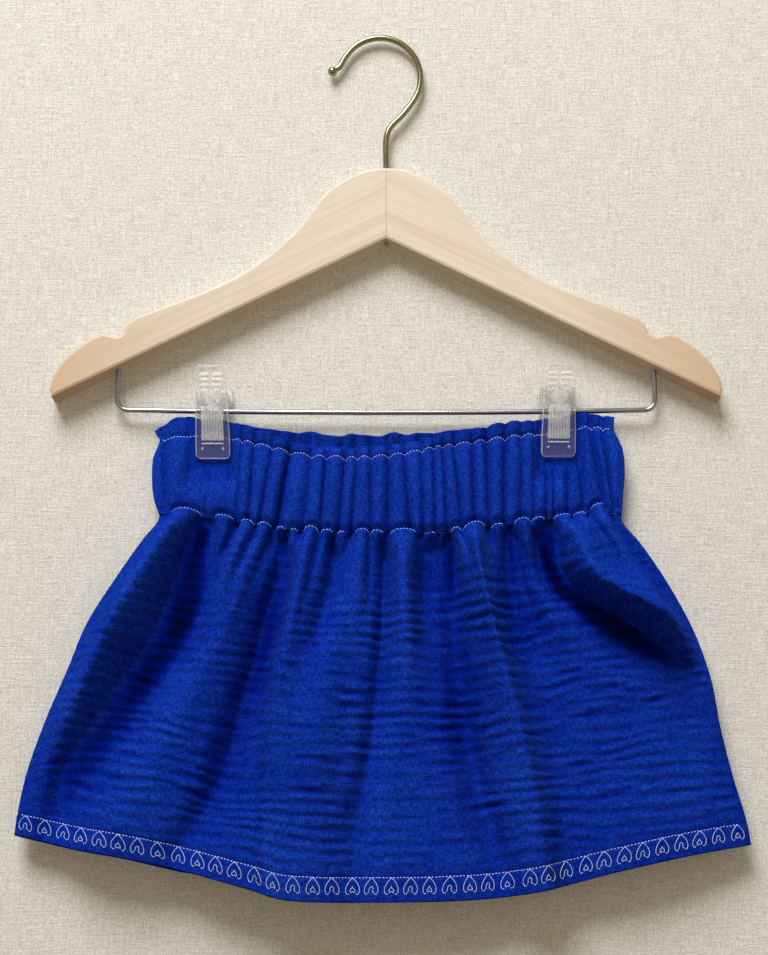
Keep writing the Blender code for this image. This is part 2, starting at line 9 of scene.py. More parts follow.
import bmesh
import bpy
import numpy as np
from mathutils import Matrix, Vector


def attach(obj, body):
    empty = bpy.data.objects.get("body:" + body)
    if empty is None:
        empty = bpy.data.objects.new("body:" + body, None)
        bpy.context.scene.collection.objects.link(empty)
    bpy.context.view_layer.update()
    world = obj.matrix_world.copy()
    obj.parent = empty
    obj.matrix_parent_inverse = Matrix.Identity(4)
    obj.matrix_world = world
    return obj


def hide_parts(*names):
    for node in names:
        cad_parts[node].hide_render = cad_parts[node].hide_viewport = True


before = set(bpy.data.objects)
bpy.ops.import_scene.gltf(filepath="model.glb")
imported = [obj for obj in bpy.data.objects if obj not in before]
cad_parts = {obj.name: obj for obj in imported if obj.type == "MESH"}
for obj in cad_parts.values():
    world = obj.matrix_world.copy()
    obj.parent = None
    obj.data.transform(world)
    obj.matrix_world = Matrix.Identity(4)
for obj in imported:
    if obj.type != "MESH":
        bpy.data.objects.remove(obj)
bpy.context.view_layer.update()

MM = 0.001
HALF_GAP = 0.15

# Hook and hanger
HOOK_WIRE = 3.3
HOOK_ARC_TURNS = (-32, 149, 18)  # from, to and step, in degrees
HOOK_HALF_WIDTH = 21.7
HOOK_HALF_HEIGHT = 23.1
HOOK_FLARE = ((-20.2, -12.6), (-21.7, -15.0), (-23.8, -16.6))
HOOK_TIP_BALL = 5.2
BALL_SHARES = (-0.72, 0.995, 14)  # from, to and number of rings
HOOK_STEPS = 5
HOOK_SIDES = 28
HANGER_X = 3.3
HOOK_STEM = (
    # x and z, from its foot in the wood upwards
    (HANGER_X, -110.5),
    (HANGER_X, -92.0),
    (HANGER_X, -72.0),
    (HANGER_X, -57.0),
    (5.6, -49.6),
    (12.2, -42.4),
)
ARM_UNDERSIDE_SLOPE = 0.497
GLUE_HALF = (0.12, 7.1)  # across and deep
GLUE_RUN = (-114.1, -75.6)

# Chrome bar
BAR_WIRE = 2.7
BAR_HALF_SPAN = 138.6
BAR_END_Z = -204.8
BAR_SAG = 1.4
BAR_BEND = 5.3
BAR_INSERT_TOP_Z = -172.5
BAR_BEND_TURNS = (0, 91, 6)
BAR_LEVEL_STEPS = 41
BAR_RISE_STEPS = 8
BAR_SIDES = 24

# Clear clips
CLIP_HUB_LENGTH = 9.0
CLIP_HUB_BORE = 1.65
HUB_PROFILE = ((0.0, 2.95), (0.25, 3.2), (1.6, 3.2), (1.9, 2.7))  # from its end, radius
HUB_TURNS = 36
CLIPS = (
    # name, middle of the clip, lift of the clip on the cloth, lean, shift of the jaw behind
    ("clip_left", -86.0, 0.0, -0.037, 0.7),
    ("clip_right", 92.0, 1.0, 0.035, -0.7),
)
JAW_SECTIONS = (
    # above the bar, inner face, outer face, half width in front, half width behind
    (-26.0, 3.05, 5.2, 8.8, 8.8),
    (-13.0, 3.05, 5.5, 8.8, 8.8),
    (-8.5, 3.6, 6.3, 8.6, 8.7),
    (-1.0, 4.2, 6.9, 8.3, 8.8),
    (2.0, 4.3, 7.1, 8.2, 8.9),
    (4.6, 4.7, 7.4, 8.2, 9.7),
    (10.0, 5.8, 8.2, 8.1, 9.7),
    (15.4, 7.1, 9.2, 7.9, 9.0),
    (17.4, 7.3, 9.3, 7.8, 7.9),
    (22.4, 7.6, 9.4, 7.7, 7.7),
)
GRIP_BARS = (16.9, 14.3, 11.5, 8.9)
GRIP_BAR_HALF = 0.95
GRIP_BAR_PARTS = ((-3.4, 2.6), (3.2, 2.8))  # middle and half length
MOULDED_HEIGHT = 0.6
RIB_RUN = (-17.2, 1.6)
RIB_RUN_EASE = 0.8
RIB_HALF_SPAN = 5.8
RIB_SIDE_EASE = 0.4
RIB_SPACING = 1.42
RIB_FLOOR = 0.12
RIB_RISE = 0.63
RIB_SHARPNESS = 1.3
RIB_FOOT = (-18.4, 0.55)  # above the bar, half height
RIB_FOOT_WAVE = (0.35, 0.15, 2.9)  # middle, change and spacing
BOSS = (4.6, 6.6, 3.6)  # above the bar, half width, half height
BOSS_TAPER = 0.28
PIPS = (-21.0, 5.3, 0.8)  # above the bar, from the middle, radius
PLATE_GRID = (145, 97)  # rows and columns of points
PLATE_CORNER = 2.6
PLATE_END = 0.9
PLATE_END_STEPS = 0.04
PLATE_ROUND = 0.7
PLATE_ROUND_REACH = 0.8
PLATE_RIM = 0.55
FROST_FROM = 0.09

# Gauze walls: how far their outside lies from the middle plane where they lie flat, and the cloth itself
BAND_WALL = 2.6
PANEL_WALL = 1.6
BAND_CLOTH = 2.3
FRILL_CLOTH = 1.3
PANEL_CLOTH = 1.1
HEM_CLOTH = 1.8
HEM_STEP = 0.6
HEM_SHARE = 0.935
CLIP_GRIP_HALF = 9.6
CLIP_GRIP_FADE = 5.0
CLIP_GRIP_BOTTOM_Z = -234.0
CLIP_GRIP_DROP = 18.0
CLIP_CRUSH_DROP = 4.0
CLIP_GRIP_LOSS = 1.0
# Painted shade on the band where the clips press it
CLIP_SHADE = 0.45
SWELL_POWERS = (2.6, 0.75)
HEM_EASE = 0.006

# The cut cloth that the weave lies on, and mean sizes for edges and seams
CUT_WIDTH = 375.0
CUT_FALL = 190.0
MEAN_FALL = 183.0
BAND_DEPTH = 38.0
BAND_WIDTH = 236.0
HEM_EDGE = 0.9
FRILL_EDGE = 0.7
CASING_EASE = 0.06
SIDE_EDGE = 0.15
END_EDGE = 0.2

# Columns and rows of points on the outside of each wall
FRONT_PANEL_GRID = (301, 233)
BACK_PANEL_GRID = (241, 181)
FRONT_BAND_GRID = (481, 91)
BACK_BAND_GRID = (361, 71)

# Where the points of a wall lie closer together, as (step, share)
PANEL_ACROSS = ((0, 0), (0.03, 0.009), (0.97, 0.991), (1, 1))
PANEL_DOWN = ((0, 0), (0.03, 0.012), (0.9, 0.925), (0.945, 0.945), (0.98, 0.993), (1, 1))
BAND_ACROSS = ((0, 0), (0.03, 0.012), (0.97, 0.988), (1, 1))
BAND_DOWN = ((0, -0.2), (0.05, -0.185), (0.18, -0.05), (0.28, 0.05), (0.88, 0.94), (1, 1))
PLATE_ACROSS = ((0, -1), (0.1, -0.92), (0.9, 0.92), (1, 1))

WAIST_LINES = (
    # x, front heading top, front upper row, front lower row, back heading top, back upper, back lower
    (-116.0, -216.8, -222.3, -260.4, -216.8, -222.3, -260.0),
    (-104.0, -209.4, -220.4, -259.6, -209.2, -217.4, -258.4),
    (-86.0, -210.4, -219.4, -262.4, -210.0, -218.2, -260.0),
    (-62.0, -217.2, -224.6, -266.6, -213.0, -220.8, -262.6),
    (-33.0, -226.2, -231.0, -270.0, -216.6, -226.0, -265.0),
    (0.0, -225.6, -231.2, -270.8, -216.6, -226.4, -265.6),
    (35.0, -219.4, -225.6, -270.0, -215.8, -223.8, -264.4),
    (62.0, -214.2, -221.6, -266.4, -212.8, -220.0, -262.4),
    (91.0, -210.0, -217.6, -262.4, -209.8, -217.2, -260.0),
    (106.0, -207.2, -215.2, -260.0, -207.2, -215.2, -258.6),
    (125.0, -209.4, -217.0, -261.0, -209.4, -217.0, -261.0),
)
HEM_LINES = (
    # x, front hem, back hem
    (-179.4, -420.0, -420.4),
    (-150.0, -426.6, -427.4),
    (-125.0, -431.2, -431.8),
    (-98.0, -436.8, -438.0),
    (-62.0, -446.4, -445.6),
    (-44.0, -451.2, -448.6),
    (0.0, -452.2, -451.2),
    (46.0, -451.0, -450.4),
    (77.0, -447.2, -446.6),
    (116.0, -437.8, -437.6),
    (150.0, -430.4, -430.2),
    (182.3, -424.8, -424.8),
)
BAND_SECTIONS = (
    # share of the band's height, left side, right side, front swell, back swell
    (-0.20, -115.6, 120.6, 7.2, 2.6),
    (-0.10, -114.4, 120.2, 6.8, 3.8),
    (0.00, -112.8, 120.4, 6.2, 4.8),
    (0.22, -115.8, 124.4, 7.0, 6.2),
    (0.50, -116.2, 125.0, 7.2, 6.4),
    (0.78, -115.0, 123.8, 7.0, 6.2),
    (1.00, -112.2, 123.0, 6.6, 5.8),
)
HEADING_SHARE = -0.20
PANEL_SECTIONS = (
    # share of the fall, left side, right side, front swell, back swell
    (0.00, -112.0, 122.8, 6.6, 5.8),
    (0.03, -113.2, 124.0, 7.4, 6.4),
    (0.08, -119.8, 131.4, 8.8, 7.4),
    (0.20, -132.8, 144.4, 10.6, 8.8),
    (0.35, -147.4, 157.2, 12.0, 9.8),
    (0.50, -156.6, 165.4, 13.0, 10.6),
    (0.65, -166.2, 169.4, 13.8, 11.2),
    (0.80, -174.2, 174.8, 14.4, 11.6),
    (0.92, -178.0, 180.2, 14.8, 11.8),
    (1.00, -179.4, 182.3, 15.0, 12.0),
)

# Gathers of the waist casing
FRONT_GATHERS = (
    # valley at the upper row, valley at the lower row, depth
    (-110.6, -108.6, 1.2),
    (-97.4, -98.4, 0.5),
    (-86.0, -88.0, 0.5),
    (-76.0, -78.0, 0.6),
    (-70.4, -72.8, 1.0),
    (-64.0, -66.4, 1.4),
    (-54.6, -61.0, 1.6),
    (-46.0, -52.4, 3.0),
    (-34.6, -38.4, 1.3),
    (-27.2, -30.2, 1.9),
    (-17.4, -20.6, 1.8),
    (-11.2, -14.2, 1.5),
    (-4.4, -4.6, 1.6),
    (4.8, 4.2, 1.9),
    (12.6, 16.0, 1.8),
    (21.6, 22.4, 1.6),
    (27.8, 28.2, 1.5),
    (32.2, 34.4, 1.4),
    (37.8, 41.8, 1.7),
    (47.4, 48.4, 1.8),
    (54.6, 55.4, 1.7),
    (64.2, 62.8, 2.0),
    (72.6, 71.6, 1.3),
    (79.0, 78.2, 0.9),
    (85.0, 84.6, 1.5),
    (88.4, 88.2, 1.2),
    (95.2, 95.6, 1.5),
    (101.6, 103.8, 1.7),
    (108.5, 115.6, 2.4),
    (114.6, 119.0, 1.5),
)
BACK_GATHERS = 28
BACK_GATHER_MARGIN = 3.5
BACK_GATHER_DEPTH = 1.4
BACK_GATHER_DRIFT = 1.5
BACK_UNEVENNESS = 0.35
CROWN_POWER = 0.62
GATHER_DEEPENING = 2.35
FRILL_DEEPENING = 1.25
FULL_RELIEF_STAND = 0.8
CASING_BULGE = 0.7
CASING_BULGE_POWER = 0.6
CASING_RUCKS = (
    # height, spacing across, spacing down
    (0.80, 4.2, 26.0),
    (0.14, 1.6, 9.0),
)
ROW_DIP = 0.8
ROW_DIP_HALF = 0.035
UPPER_SCALLOP = 1.9
UPPER_SCALLOP_REACH = 0.25
SCALLOP_MIDDLE = 0.6
FRILL_SCALLOP_LOSS = 0.7
SEAM_ARCH_RUN = (0.7, 0.3)
FRILL_WAVE = 0.9
FRILL_WAVE_SPACING = 6.0
FRILL_WAVE_PACE = 2.0
FRILL_EDGE_WAVE = 1.1
FRILL_EDGE_SPACING = 7.0
FRILL_LEAN = 3.0
FRILL_LEAN_SPAN = (-40.0, 32.0)
FRILL_LEAN_EASE = 8.0
# Painted shade in the gathers' valleys and painted light on the frill's waves
GATHER_SHADE = 0.3
FRILL_WAVE_LIGHT = 0.1

# Puffs, pleats and folds of the skirt below it
FRONT_PUFFS = (
    # left and right end at the seam, rise of the seam over it, height, length as a share of the fall
    (-106.0, -89.5, 3.0, 5.4, 0.30),
    (-84.4, -72.6, 2.6, 4.2, 0.18),
    (-70.8, -63.2, 2.2, 4.0, 0.20),
    (-61.8, -54.6, 2.2, 4.0, 0.20),
    (-52.0, -47.6, 1.4, 1.8, 0.10),
    (-45.2, -41.2, 1.0, 1.8, 0.10),
    (-38.4, -30.8, 3.0, 5.0, 0.26),
    (-29.6, -23.6, 1.8, 3.4, 0.16),
    (-21.4, -17.0, 1.0, 1.8, 0.10),
    (-12.2, -5.4, 2.4, 3.6, 0.20),
    (-4.6, 1.8, 1.7, 3.6, 0.20),
    (5.2, 18.8, 2.3, 4.2, 0.24),
    (22.4, 28.4, 1.0, 1.6, 0.10),
    (30.0, 33.8, 0.8, 1.4, 0.08),
    (35.6, 41.2, 2.2, 4.2, 0.16),
    (42.0, 53.4, 3.8, 6.6, 0.30),
    (56.4, 62.4, 1.4, 2.0, 0.12),
    (67.8, 75.8, 2.4, 4.4, 0.16),
    (76.8, 83.6, 2.0, 4.0, 0.12),
    (87.6, 96.6, 1.8, 3.2, 0.18),
    (98.0, 104.8, 1.2, 2.2, 0.10),
    (106.0, 116.8, 5.0, 5.6, 0.28),
    (118.8, 122.8, 1.6, 3.0, 0.12),
)
BACK_PUFFS = 18
BACK_PUFF_MARGIN = 6.0
BACK_PUFF_HALF_WIDTH = 5.0
BACK_PUFF_RISE = 2.2
BACK_PUFF_HEIGHT = 3.2
BACK_PUFF_LENGTH = 0.18
BACK_PUFF_DRIFT = 1.6
ARCH_POWER = 0.55
ARCH_FADE = 0.08
PUFF_RISE = 0.011
PUFF_FULLNESS = 1.12
SEAM_TUCK = 1.9
SEAM_TUCK_RUN = (0.88, 0.13)
SEAM_LAP = 0.7
PUFF_TUCK = 1.0
PUFF_TUCK_REACH = 1.2
PLEAT_DEEPENING = 2.2
PLEAT_WIDENING = 1.15
FRONT_PLEATS = (
    # x at the seam, x where it fades, fall where it fades, depth, reach to the left and to the right
    (-87.0, -100.0, 0.24, 2.4, 2.2, 2.6),
    (-71.7, -90.0, 0.27, 2.8, 2.0, 1.6),
    (-62.5, -65.8, 0.09, 1.8, 1.0, 1.0),
    (-53.3, -56.5, 0.10, 1.6, 1.2, 1.2),
    (-46.4, -49.4, 0.10, 1.4, 1.0, 1.0),
    (-39.8, -43.5, 0.12, 1.6, 1.2, 1.0),
    (-30.2, -36.0, 0.14, 1.0, 1.0, 1.0),
    (-22.5, -26.5, 0.12, 1.8, 1.2, 1.2),
    (-14.6, -18.4, 0.12, 1.8, 1.4, 1.4),
    (-5.0, -6.0, 0.08, 1.4, 0.9, 0.9),
    (3.4, 0.0, 0.40, 1.9, 1.5, 2.4),
    (20.0, 18.6, 0.26, 1.5, 1.2, 5.0),
    (29.2, 29.4, 0.08, 1.2, 1.0, 1.0),
    (34.7, 39.5, 0.18, 2.2, 3.0, 1.0),
    (54.5, 56.6, 0.12, 1.8, 1.4, 1.6),
    (65.0, 69.4, 0.22, 2.0, 1.8, 1.6),
    (85.6, 88.0, 0.15, 1.6, 1.6, 1.8),
    (97.3, 101.0, 0.12, 1.6, 1.0, 1.0),
    (106.0, 117.0, 0.20, 2.2, 1.6, 1.2),
    (113.0, 154.0, 0.38, 3.8, 0.7, 4.2),
    (119.4, 128.0, 0.12, 1.4, 1.0, 1.4),
)
BACK_PLEATS = 17
BACK_PLEAT_LENGTH = 0.14
BACK_PLEAT_DEPTH = 1.7
BACK_PLEAT_REACH = 1.3
BACK_PLEAT_LEAN = 0.4
BACK_PLEAT_DRIFT = 1.5
FRONT_FOLDS = (
    # each fold as rows of: share of the fall, x, height, reach to the left, reach to the right
    (
        (0.00, -104.0, 5.0, 12.0, 9.0),
        (0.20, -121.0, 8.0, 12.0, 12.0),
        (0.37, -137.0, 9.0, 12.0, 12.0),
        (0.53, -151.0, 8.5, 12.0, 11.0),
        (0.74, -166.0, 5.0, 10.0, 9.0),
        (1.00, -176.0, 2.0, 9.0, 9.0),
    ),
    (
        (0.00, -88.0, -5.0, 8.0, 8.0),
        (0.15, -91.5, -8.5, 11.0, 8.0),
        (0.30, -98.0, -9.5, 13.0, 9.5),
        (0.42, -108.5, -9.0, 13.0, 11.5),
        (0.55, -123.0, -8.0, 12.0, 13.0),
        (0.68, -138.0, -6.5, 11.0, 17.0),
        (0.80, -151.0, -4.5, 10.0, 18.0),
        (1.00, -164.0, -1.5, 9.0, 18.0),
    ),
    (
        (0.00, -70.0, 1.5, 8.0, 8.0),
        (0.18, -76.0, 3.2, 10.0, 10.0),
        (0.38, -83.0, 2.8, 16.0, 10.0),
        (0.60, -101.0, 2.4, 19.0, 14.0),
        (0.85, -126.0, 2.0, 19.0, 18.0),
        (1.00, -142.0, 2.0, 15.0, 18.0),
    ),
    (
        (0.00, -49.0, -4.0, 6.0, 5.0),
        (0.12, -47.5, -6.5, 6.0, 5.0),
        (0.25, -52.5, -7.5, 8.0, 5.5),
        (0.40, -59.5, -7.5, 8.0, 6.0),
        (0.55, -68.0, -6.6, 8.0, 7.0),
        (0.70, -76.0, -5.4, 8.0, 8.0),
        (0.85, -88.0, -3.6, 8.0, 10.0),
        (1.00, -101.0, -2.0, 11.0, 16.0),
    ),
    (
        (0.00, -42.0, 3.0, 4.5, 9.0),
        (0.20, -45.5, 5.0, 4.5, 16.0),
        (0.40, -49.0, 6.5, 4.5, 26.0),
        (0.60, -52.0, 5.5, 4.0, 34.0),
        (0.80, -54.0, 4.5, 4.0, 38.0),
        (1.00, -54.0, 4.5, 4.0, 38.0),
    ),
    (
        (0.00, -26.0, -3.0, 4.0, 4.0),
        (0.10, -22.5, -3.8, 5.5, 5.0),
        (0.25, -29.0, -3.0, 6.0, 6.0),
        (0.37, -36.0, -1.4, 7.0, 8.0),
        (0.52, -42.0, 0.0, 6.0, 8.0),
        (1.00, -42.0, 0.0, 6.0, 8.0),
    ),
    (
        (0.00, -14.0, 0.0, 7.0, 8.0),
        (0.20, -20.0, 1.4, 7.0, 9.0),
        (0.43, -26.0, 2.0, 9.0, 8.0),
        (0.62, -29.0, 2.0, 11.0, 8.0),
        (0.80, -32.0, 1.0, 11.0, 9.0),
        (1.00, -34.0, 0.6, 11.0, 10.0),
    ),
    (
        (0.00, 0.5, -3.0, 4.0, 3.5),
        (0.14, 0.5, -4.2, 5.5, 4.5),
        (0.28, 1.0, -4.0, 5.0, 5.0),
        (0.53, -3.0, -3.6, 5.0, 6.0),
        (0.70, -8.0, -3.0, 5.5, 7.0),
        (0.85, -11.0, -2.4, 9.0, 8.0),
        (1.00, -12.0, -1.5, 9.0, 8.0),
    ),
    (
        (0.00, 11.0, 2.0, 4.0, 4.5),
        (0.20, 12.5, 3.0, 5.0, 5.0),
        (0.42, 14.0, 1.5, 7.0, 8.0),
        (0.62, 16.0, 0.0, 8.0, 9.0),
        (1.00, 16.0, 0.0, 8.0, 9.0),
    ),
    (
        (0.00, 26.0, -3.0, 4.0, 5.0),
        (0.12, 26.0, -4.2, 7.0, 7.0),
        (0.26, 26.0, -2.4, 8.0, 8.0),
        (0.45, 27.0, -1.0, 8.0, 8.0),
        (0.65, 28.0, 0.0, 8.0, 8.0),
        (1.00, 28.0, 0.0, 8.0, 8.0),
    ),
    (
        (0.00, 36.0, -3.5, 3.5, 3.0),
        (0.10, 35.5, -6.5, 4.5, 3.5),
        (0.30, 38.0, -4.8, 7.0, 5.5),
        (0.50, 41.5, -5.8, 8.0, 6.5),
        (0.65, 46.5, -6.2, 9.0, 6.5),
        (0.82, 54.0, -5.0, 10.0, 7.0),
        (1.00, 62.0, -2.5, 11.0, 8.0),
    ),
    (
        (0.00, 46.0, 7.0, 4.5, 4.0),
        (0.14, 49.5, 8.4, 6.0, 3.4),
        (0.38, 60.0, 7.6, 10.0, 4.0),
        (0.50, 65.5, 7.8, 11.0, 4.2),
        (0.65, 70.5, 6.4, 11.0, 6.0),
        (0.85, 76.5, 4.6, 13.0, 7.0),
        (1.00, 79.5, 3.6, 15.0, 7.0),
    ),
    (
        (0.00, 65.0, -3.5, 4.0, 5.0),
        (0.15, 67.5, -6.0, 6.0, 6.5),
        (0.28, 73.0, -6.0, 8.0, 11.0),
        (0.42, 80.0, -4.0, 9.0, 17.0),
        (0.60, 86.0, -3.0, 9.0, 24.0),
        (0.85, 92.0, -2.7, 8.0, 24.0),
        (1.00, 94.0, -2.0, 8.0, 20.0),
    ),
    (
        (0.00, 100.0, 5.0, 7.0, 14.0),
        (0.08, 100.5, 7.5, 7.5, 16.0),
        (0.17, 104.5, 9.5, 7.5, 19.0),
        (0.245, 119.0, 11.5, 8.5, 18.0),
        (0.31, 137.0, 12.0, 10.0, 14.0),
        (0.37, 148.0, 10.0, 10.0, 11.0),
        (0.44, 160.0, 7.0, 10.0, 9.0),
        (0.54, 169.0, 3.0, 10.0, 8.0),
        (0.75, 174.0, 1.0, 10.0, 8.0),
        (1.00, 180.0, 0.0, 10.0, 8.0),
    ),
    (
        (0.00, 82.5, -5.0, 4.5, 5.5),
        (0.08, 84.0, -9.0, 6.0, 6.5),
        (0.15, 87.0, -10.0, 7.0, 7.0),
        (0.21, 93.5, -10.0, 7.5, 9.0),
        (0.28, 107.0, -10.5, 9.5, 12.0),
        (0.35, 122.0, -9.5, 13.0, 13.0),
        (0.42, 138.0, -7.5, 16.0, 12.0),
        (0.49, 154.0, -3.5, 17.0, 10.0),
        (0.60, 164.0, -1.5, 26.0, 10.0),
        (1.00, 168.0, 0.0, 20.0, 10.0),
    ),
)
BACK_FOLDS = (
    ((0.0, -96.0, 5.5, 13.0, 12.0), (0.5, -132.0, 7.5, 13.0, 12.0), (1.0, -164.0, 4.0, 13.0, 12.0)),
    ((0.0, -74.0, -5.0, 9.0, 9.0), (0.5, -96.0, -6.5, 15.0, 13.0), (1.0, -118.0, -4.0, 15.0, 15.0)),
    ((0.0, -40.0, 5.0, 5.0, 9.0), (0.5, -52.0, 6.5, 6.0, 15.0), (1.0, -72.0, 5.5, 6.0, 18.0)),
    ((0.0, -6.0, -4.0, 7.0, 7.0), (0.5, -8.0, -5.0, 12.0, 12.0), (1.0, -10.0, -3.0, 13.0, 13.0)),
    ((0.0, 30.0, 5.0, 9.0, 5.0), (0.5, 36.0, 6.0, 14.0, 6.0), (1.0, 52.0, 6.0, 16.0, 6.0)),
    ((0.0, 66.0, -5.0, 9.0, 8.0), (0.5, 88.0, -6.5, 14.0, 13.0), (1.0, 112.0, -4.0, 16.0, 14.0)),
    ((0.0, 104.0, 5.5, 12.0, 12.0), (0.5, 138.0, 7.0, 12.0, 12.0), (1.0, 166.0, 4.0, 12.0, 12.0)),
)
FOLD_ONSET = 0.06
FOLD_DEEPENING = 2.05
BACK_FOLD_DEEPENING = 1.0
INNER_REST = 1.2
SIDE_CALM = 0.05
NORMAL_STEP = 0.002
TEXTURE_CALM = 0.015
TEXTURE_AT_SIDE = 0.2
# Painted light on the crinkle's ridges and painted shade in its troughs, from its relief
RELIEF_PER_PAINTED_LIGHT = 2.0
# Lightness of the gauze before its painted light and shade, for the skirt and for the band
PANEL_LIGHTNESS = 0.45
BAND_LIGHTNESS = 0.85
# Painted shade in folds too deep for the cloth, and painted light on the puffs and raised folds
HOLLOW_DEPTH = 12.0
HOLLOW_SHADE = 1.1
PUFF_LIGHT = 0.05
FOLD_LIGHT = 0.022
FOLD_LIGHT_REACH = 9.0

# Creases that the gauze has dried into, the main ones listed and the rest worked out
FRONT_CREASES = (
    # x, share of the fall, half its length, drop to the right along that half, depth
    (-12.9, 0.286, 9.5, 0.2, 0.55),
    (6.7, 0.307, 14.0, 1.2, 0.50),
    (49.3, 0.256, 8.0, -0.8, 0.55),
    (72.0, 0.280, 15.0, -1.8, 0.80),
    (76.0, 0.320, 17.0, -1.4, 0.85),
    (74.0, 0.355, 14.0, -1.2, 0.75),
    (69.0, 0.385, 11.0, -0.8, 0.45),
    (-45.0, 0.390, 10.0, 2.0, 0.60),
    (-19.4, 0.402, 16.0, 0.6, 0.60),
    (-18.0, 0.357, 11.0, 0.3, 0.40),
    (-13.9, 0.450, 13.0, 2.4, 0.75),
    (20.2, 0.440, 4.5, 0.0, 0.60),
    (-12.9, 0.487, 14.0, 1.8, 0.85),
    (1.6, 0.514, 16.0, -0.4, 0.60),
    (28.7, 0.548, 15.0, -0.5, 0.80),
    (-7.9, 0.590, 14.0, 0.5, 0.85),
    (18.7, 0.589, 14.0, -0.3, 0.75),
    (14.0, 0.620, 20.0, 0.0, 0.50),
    (-25.4, 0.635, 18.0, 1.5, 0.80),
    (27.2, 0.642, 16.0, -0.2, 0.65),
    (-15.0, 0.672, 11.0, -0.4, 0.50),
    (62.3, 0.625, 10.0, -2.4, 0.60),
    (51.8, 0.560, 6.0, 0.6, 0.60),
    (57.3, 0.545, 10.0, -2.0, 0.60),
    (62.3, 0.500, 7.0, -1.0, 0.55),
    (75.0, 0.505, 8.0, -1.2, 0.75),
    (29.6, 0.270, 10.0, -0.8, 0.50),
    (26.0, 0.215, 7.5, 0.6, 0.50),
    (47.0, 0.330, 4.5, -1.0, 0.45),
    (-38.0, 0.550, 18.0, 0.6, 0.45),
    (-42.0, 0.440, 13.0, 1.0, 0.45),
    (-47.0, 0.480, 9.0, 0.4, 0.40),
    (115.0, 0.414, 17.0, -1.5, 0.60),
    (96.0, 0.430, 11.0, -1.0, 0.60),
    (122.5, 0.445, 14.0, -1.8, 0.55),
    (88.5, 0.467, 13.0, -2.0, 0.65),
    (80.4, 0.512, 12.0, -1.4, 0.80),
    (109.0, 0.503, 16.0, -1.8, 0.65),
    (141.6, 0.550, 20.0, -2.8, 0.75),
    (86.4, 0.583, 15.0, -1.2, 0.60),
    (105.5, 0.557, 15.0, -1.4, 0.55),
    (140.6, 0.620, 24.0, -2.0, 0.60),
    (105.0, 0.131, 10.0, -2.0, 0.50),
    (96.4, 0.160, 8.0, -1.0, 0.45),
    (-118.7, 0.490, 14.0, 2.4, 0.60),
    (-125.7, 0.550, 14.0, 1.4, 0.50),
    (-109.0, 0.597, 14.0, 3.2, 0.65),
    (-123.7, 0.644, 13.0, 1.8, 0.55),
    (-118.0, 0.715, 18.0, 3.2, 0.65),
    (-130.0, 0.776, 16.0, 2.4, 0.60),
    (-135.8, 0.830, 24.0, 3.4, 0.60),
    (-138.8, 0.870, 15.0, 1.8, 0.50),
    (-82.6, 0.630, 12.0, 0.8, 0.75),
    (-85.0, 0.670, 10.0, 0.6, 0.70),
    (-88.0, 0.736, 11.0, 0.6, 0.75),
    (-93.0, 0.782, 13.0, 0.4, 0.70),
    (-36.0, 0.712, 16.0, 0.8, 0.55),
    (12.0, 0.735, 22.0, -0.4, 0.60),
    (52.0, 0.760, 14.0, -1.4, 0.55),
    (104.0, 0.690, 20.0, -2.0, 0.60),
    (-20.0, 0.820, 20.0, 0.6, 0.50),
    (34.0, 0.850, 18.0, -0.6, 0.50),
    (118.0, 0.790, 22.0, -2.2, 0.55),
    (88.0, 0.860, 18.0, -1.6, 0.50),
)
BACK_CREASES = 54
CREASE_HALF = 1.4
CREASE_DEEPENING = 0.9
CREASE_SHOULDER = 0.45
CREASE_SHOULDER_AT = 2.2
CREASE_TAPER = 1.5
BACK_CREASE_RUN = (0.14, 0.76)
BACK_CREASE_SPAN = (-150.0, 155.0)
BACK_CREASE_NARROWING = 0.34
BACK_CREASE_RANGES = ((5.0, 24.0), (-2.0, 2.0), (0.4, 0.85))  # half length, drop, depth
CRINKLE_SPACINGS = (
    # across and down: bend of the ribs, its kinks, their strength, fine ribs, bend of the warp, broad waves
    (36.0, 22.0),
    (14.0, 9.0),
    (30.0, 17.0),
    (8.0, 1.7),
    (40.0, 30.0),
    (38.0, 44.0),
    (17.0, 25.0),
)
RIB_PITCH = 5.8
RIB_HEIGHT = 0.75
RIB_POWER = 1.2
RIB_MIDDLE = 0.55
RIB_DRIFT = 0.75
RIB_KINK = 0.18
RIB_STRENGTH = (0.65, 0.55, 0.25, 1.2)  # middle, change, least and most
FINE_RIB_HEIGHT = 0.28
WARP_PITCH = 8.4
WARP_HEIGHT = 0.16
WARP_BEND = 0.4
WARP_POWER = 0.6
BROAD_WAVE_HEIGHT = 0.5
SWING = 0.5
CRINKLE_ONSET = (0.04, 0.24)
CRINKLE_AT_SEAM = 0.35
HEM_CALM = 0.75
HEM_CALM_RUN = 0.03
HEM_PUCKER = 0.18
HEM_PUCKER_SPACING = (1.6, 3.0)
HEM_PUCKER_REACH = 3.0
HEM_ROW_DIP = 0.35
HEM_ROW_REACH = 0.6
LATTICE = 64

# Seeds of the random draws, those in pairs for the front and the back
BACK_CREASE_SEED = 11
BAND_SEEDS = (21, 31)
CRINKLE_SEEDS = (41, 51)
HEM_PUCKER_SEED = 61
HEART_SEEDS = (71, 72)
STITCH_SEEDS = (81, 91)

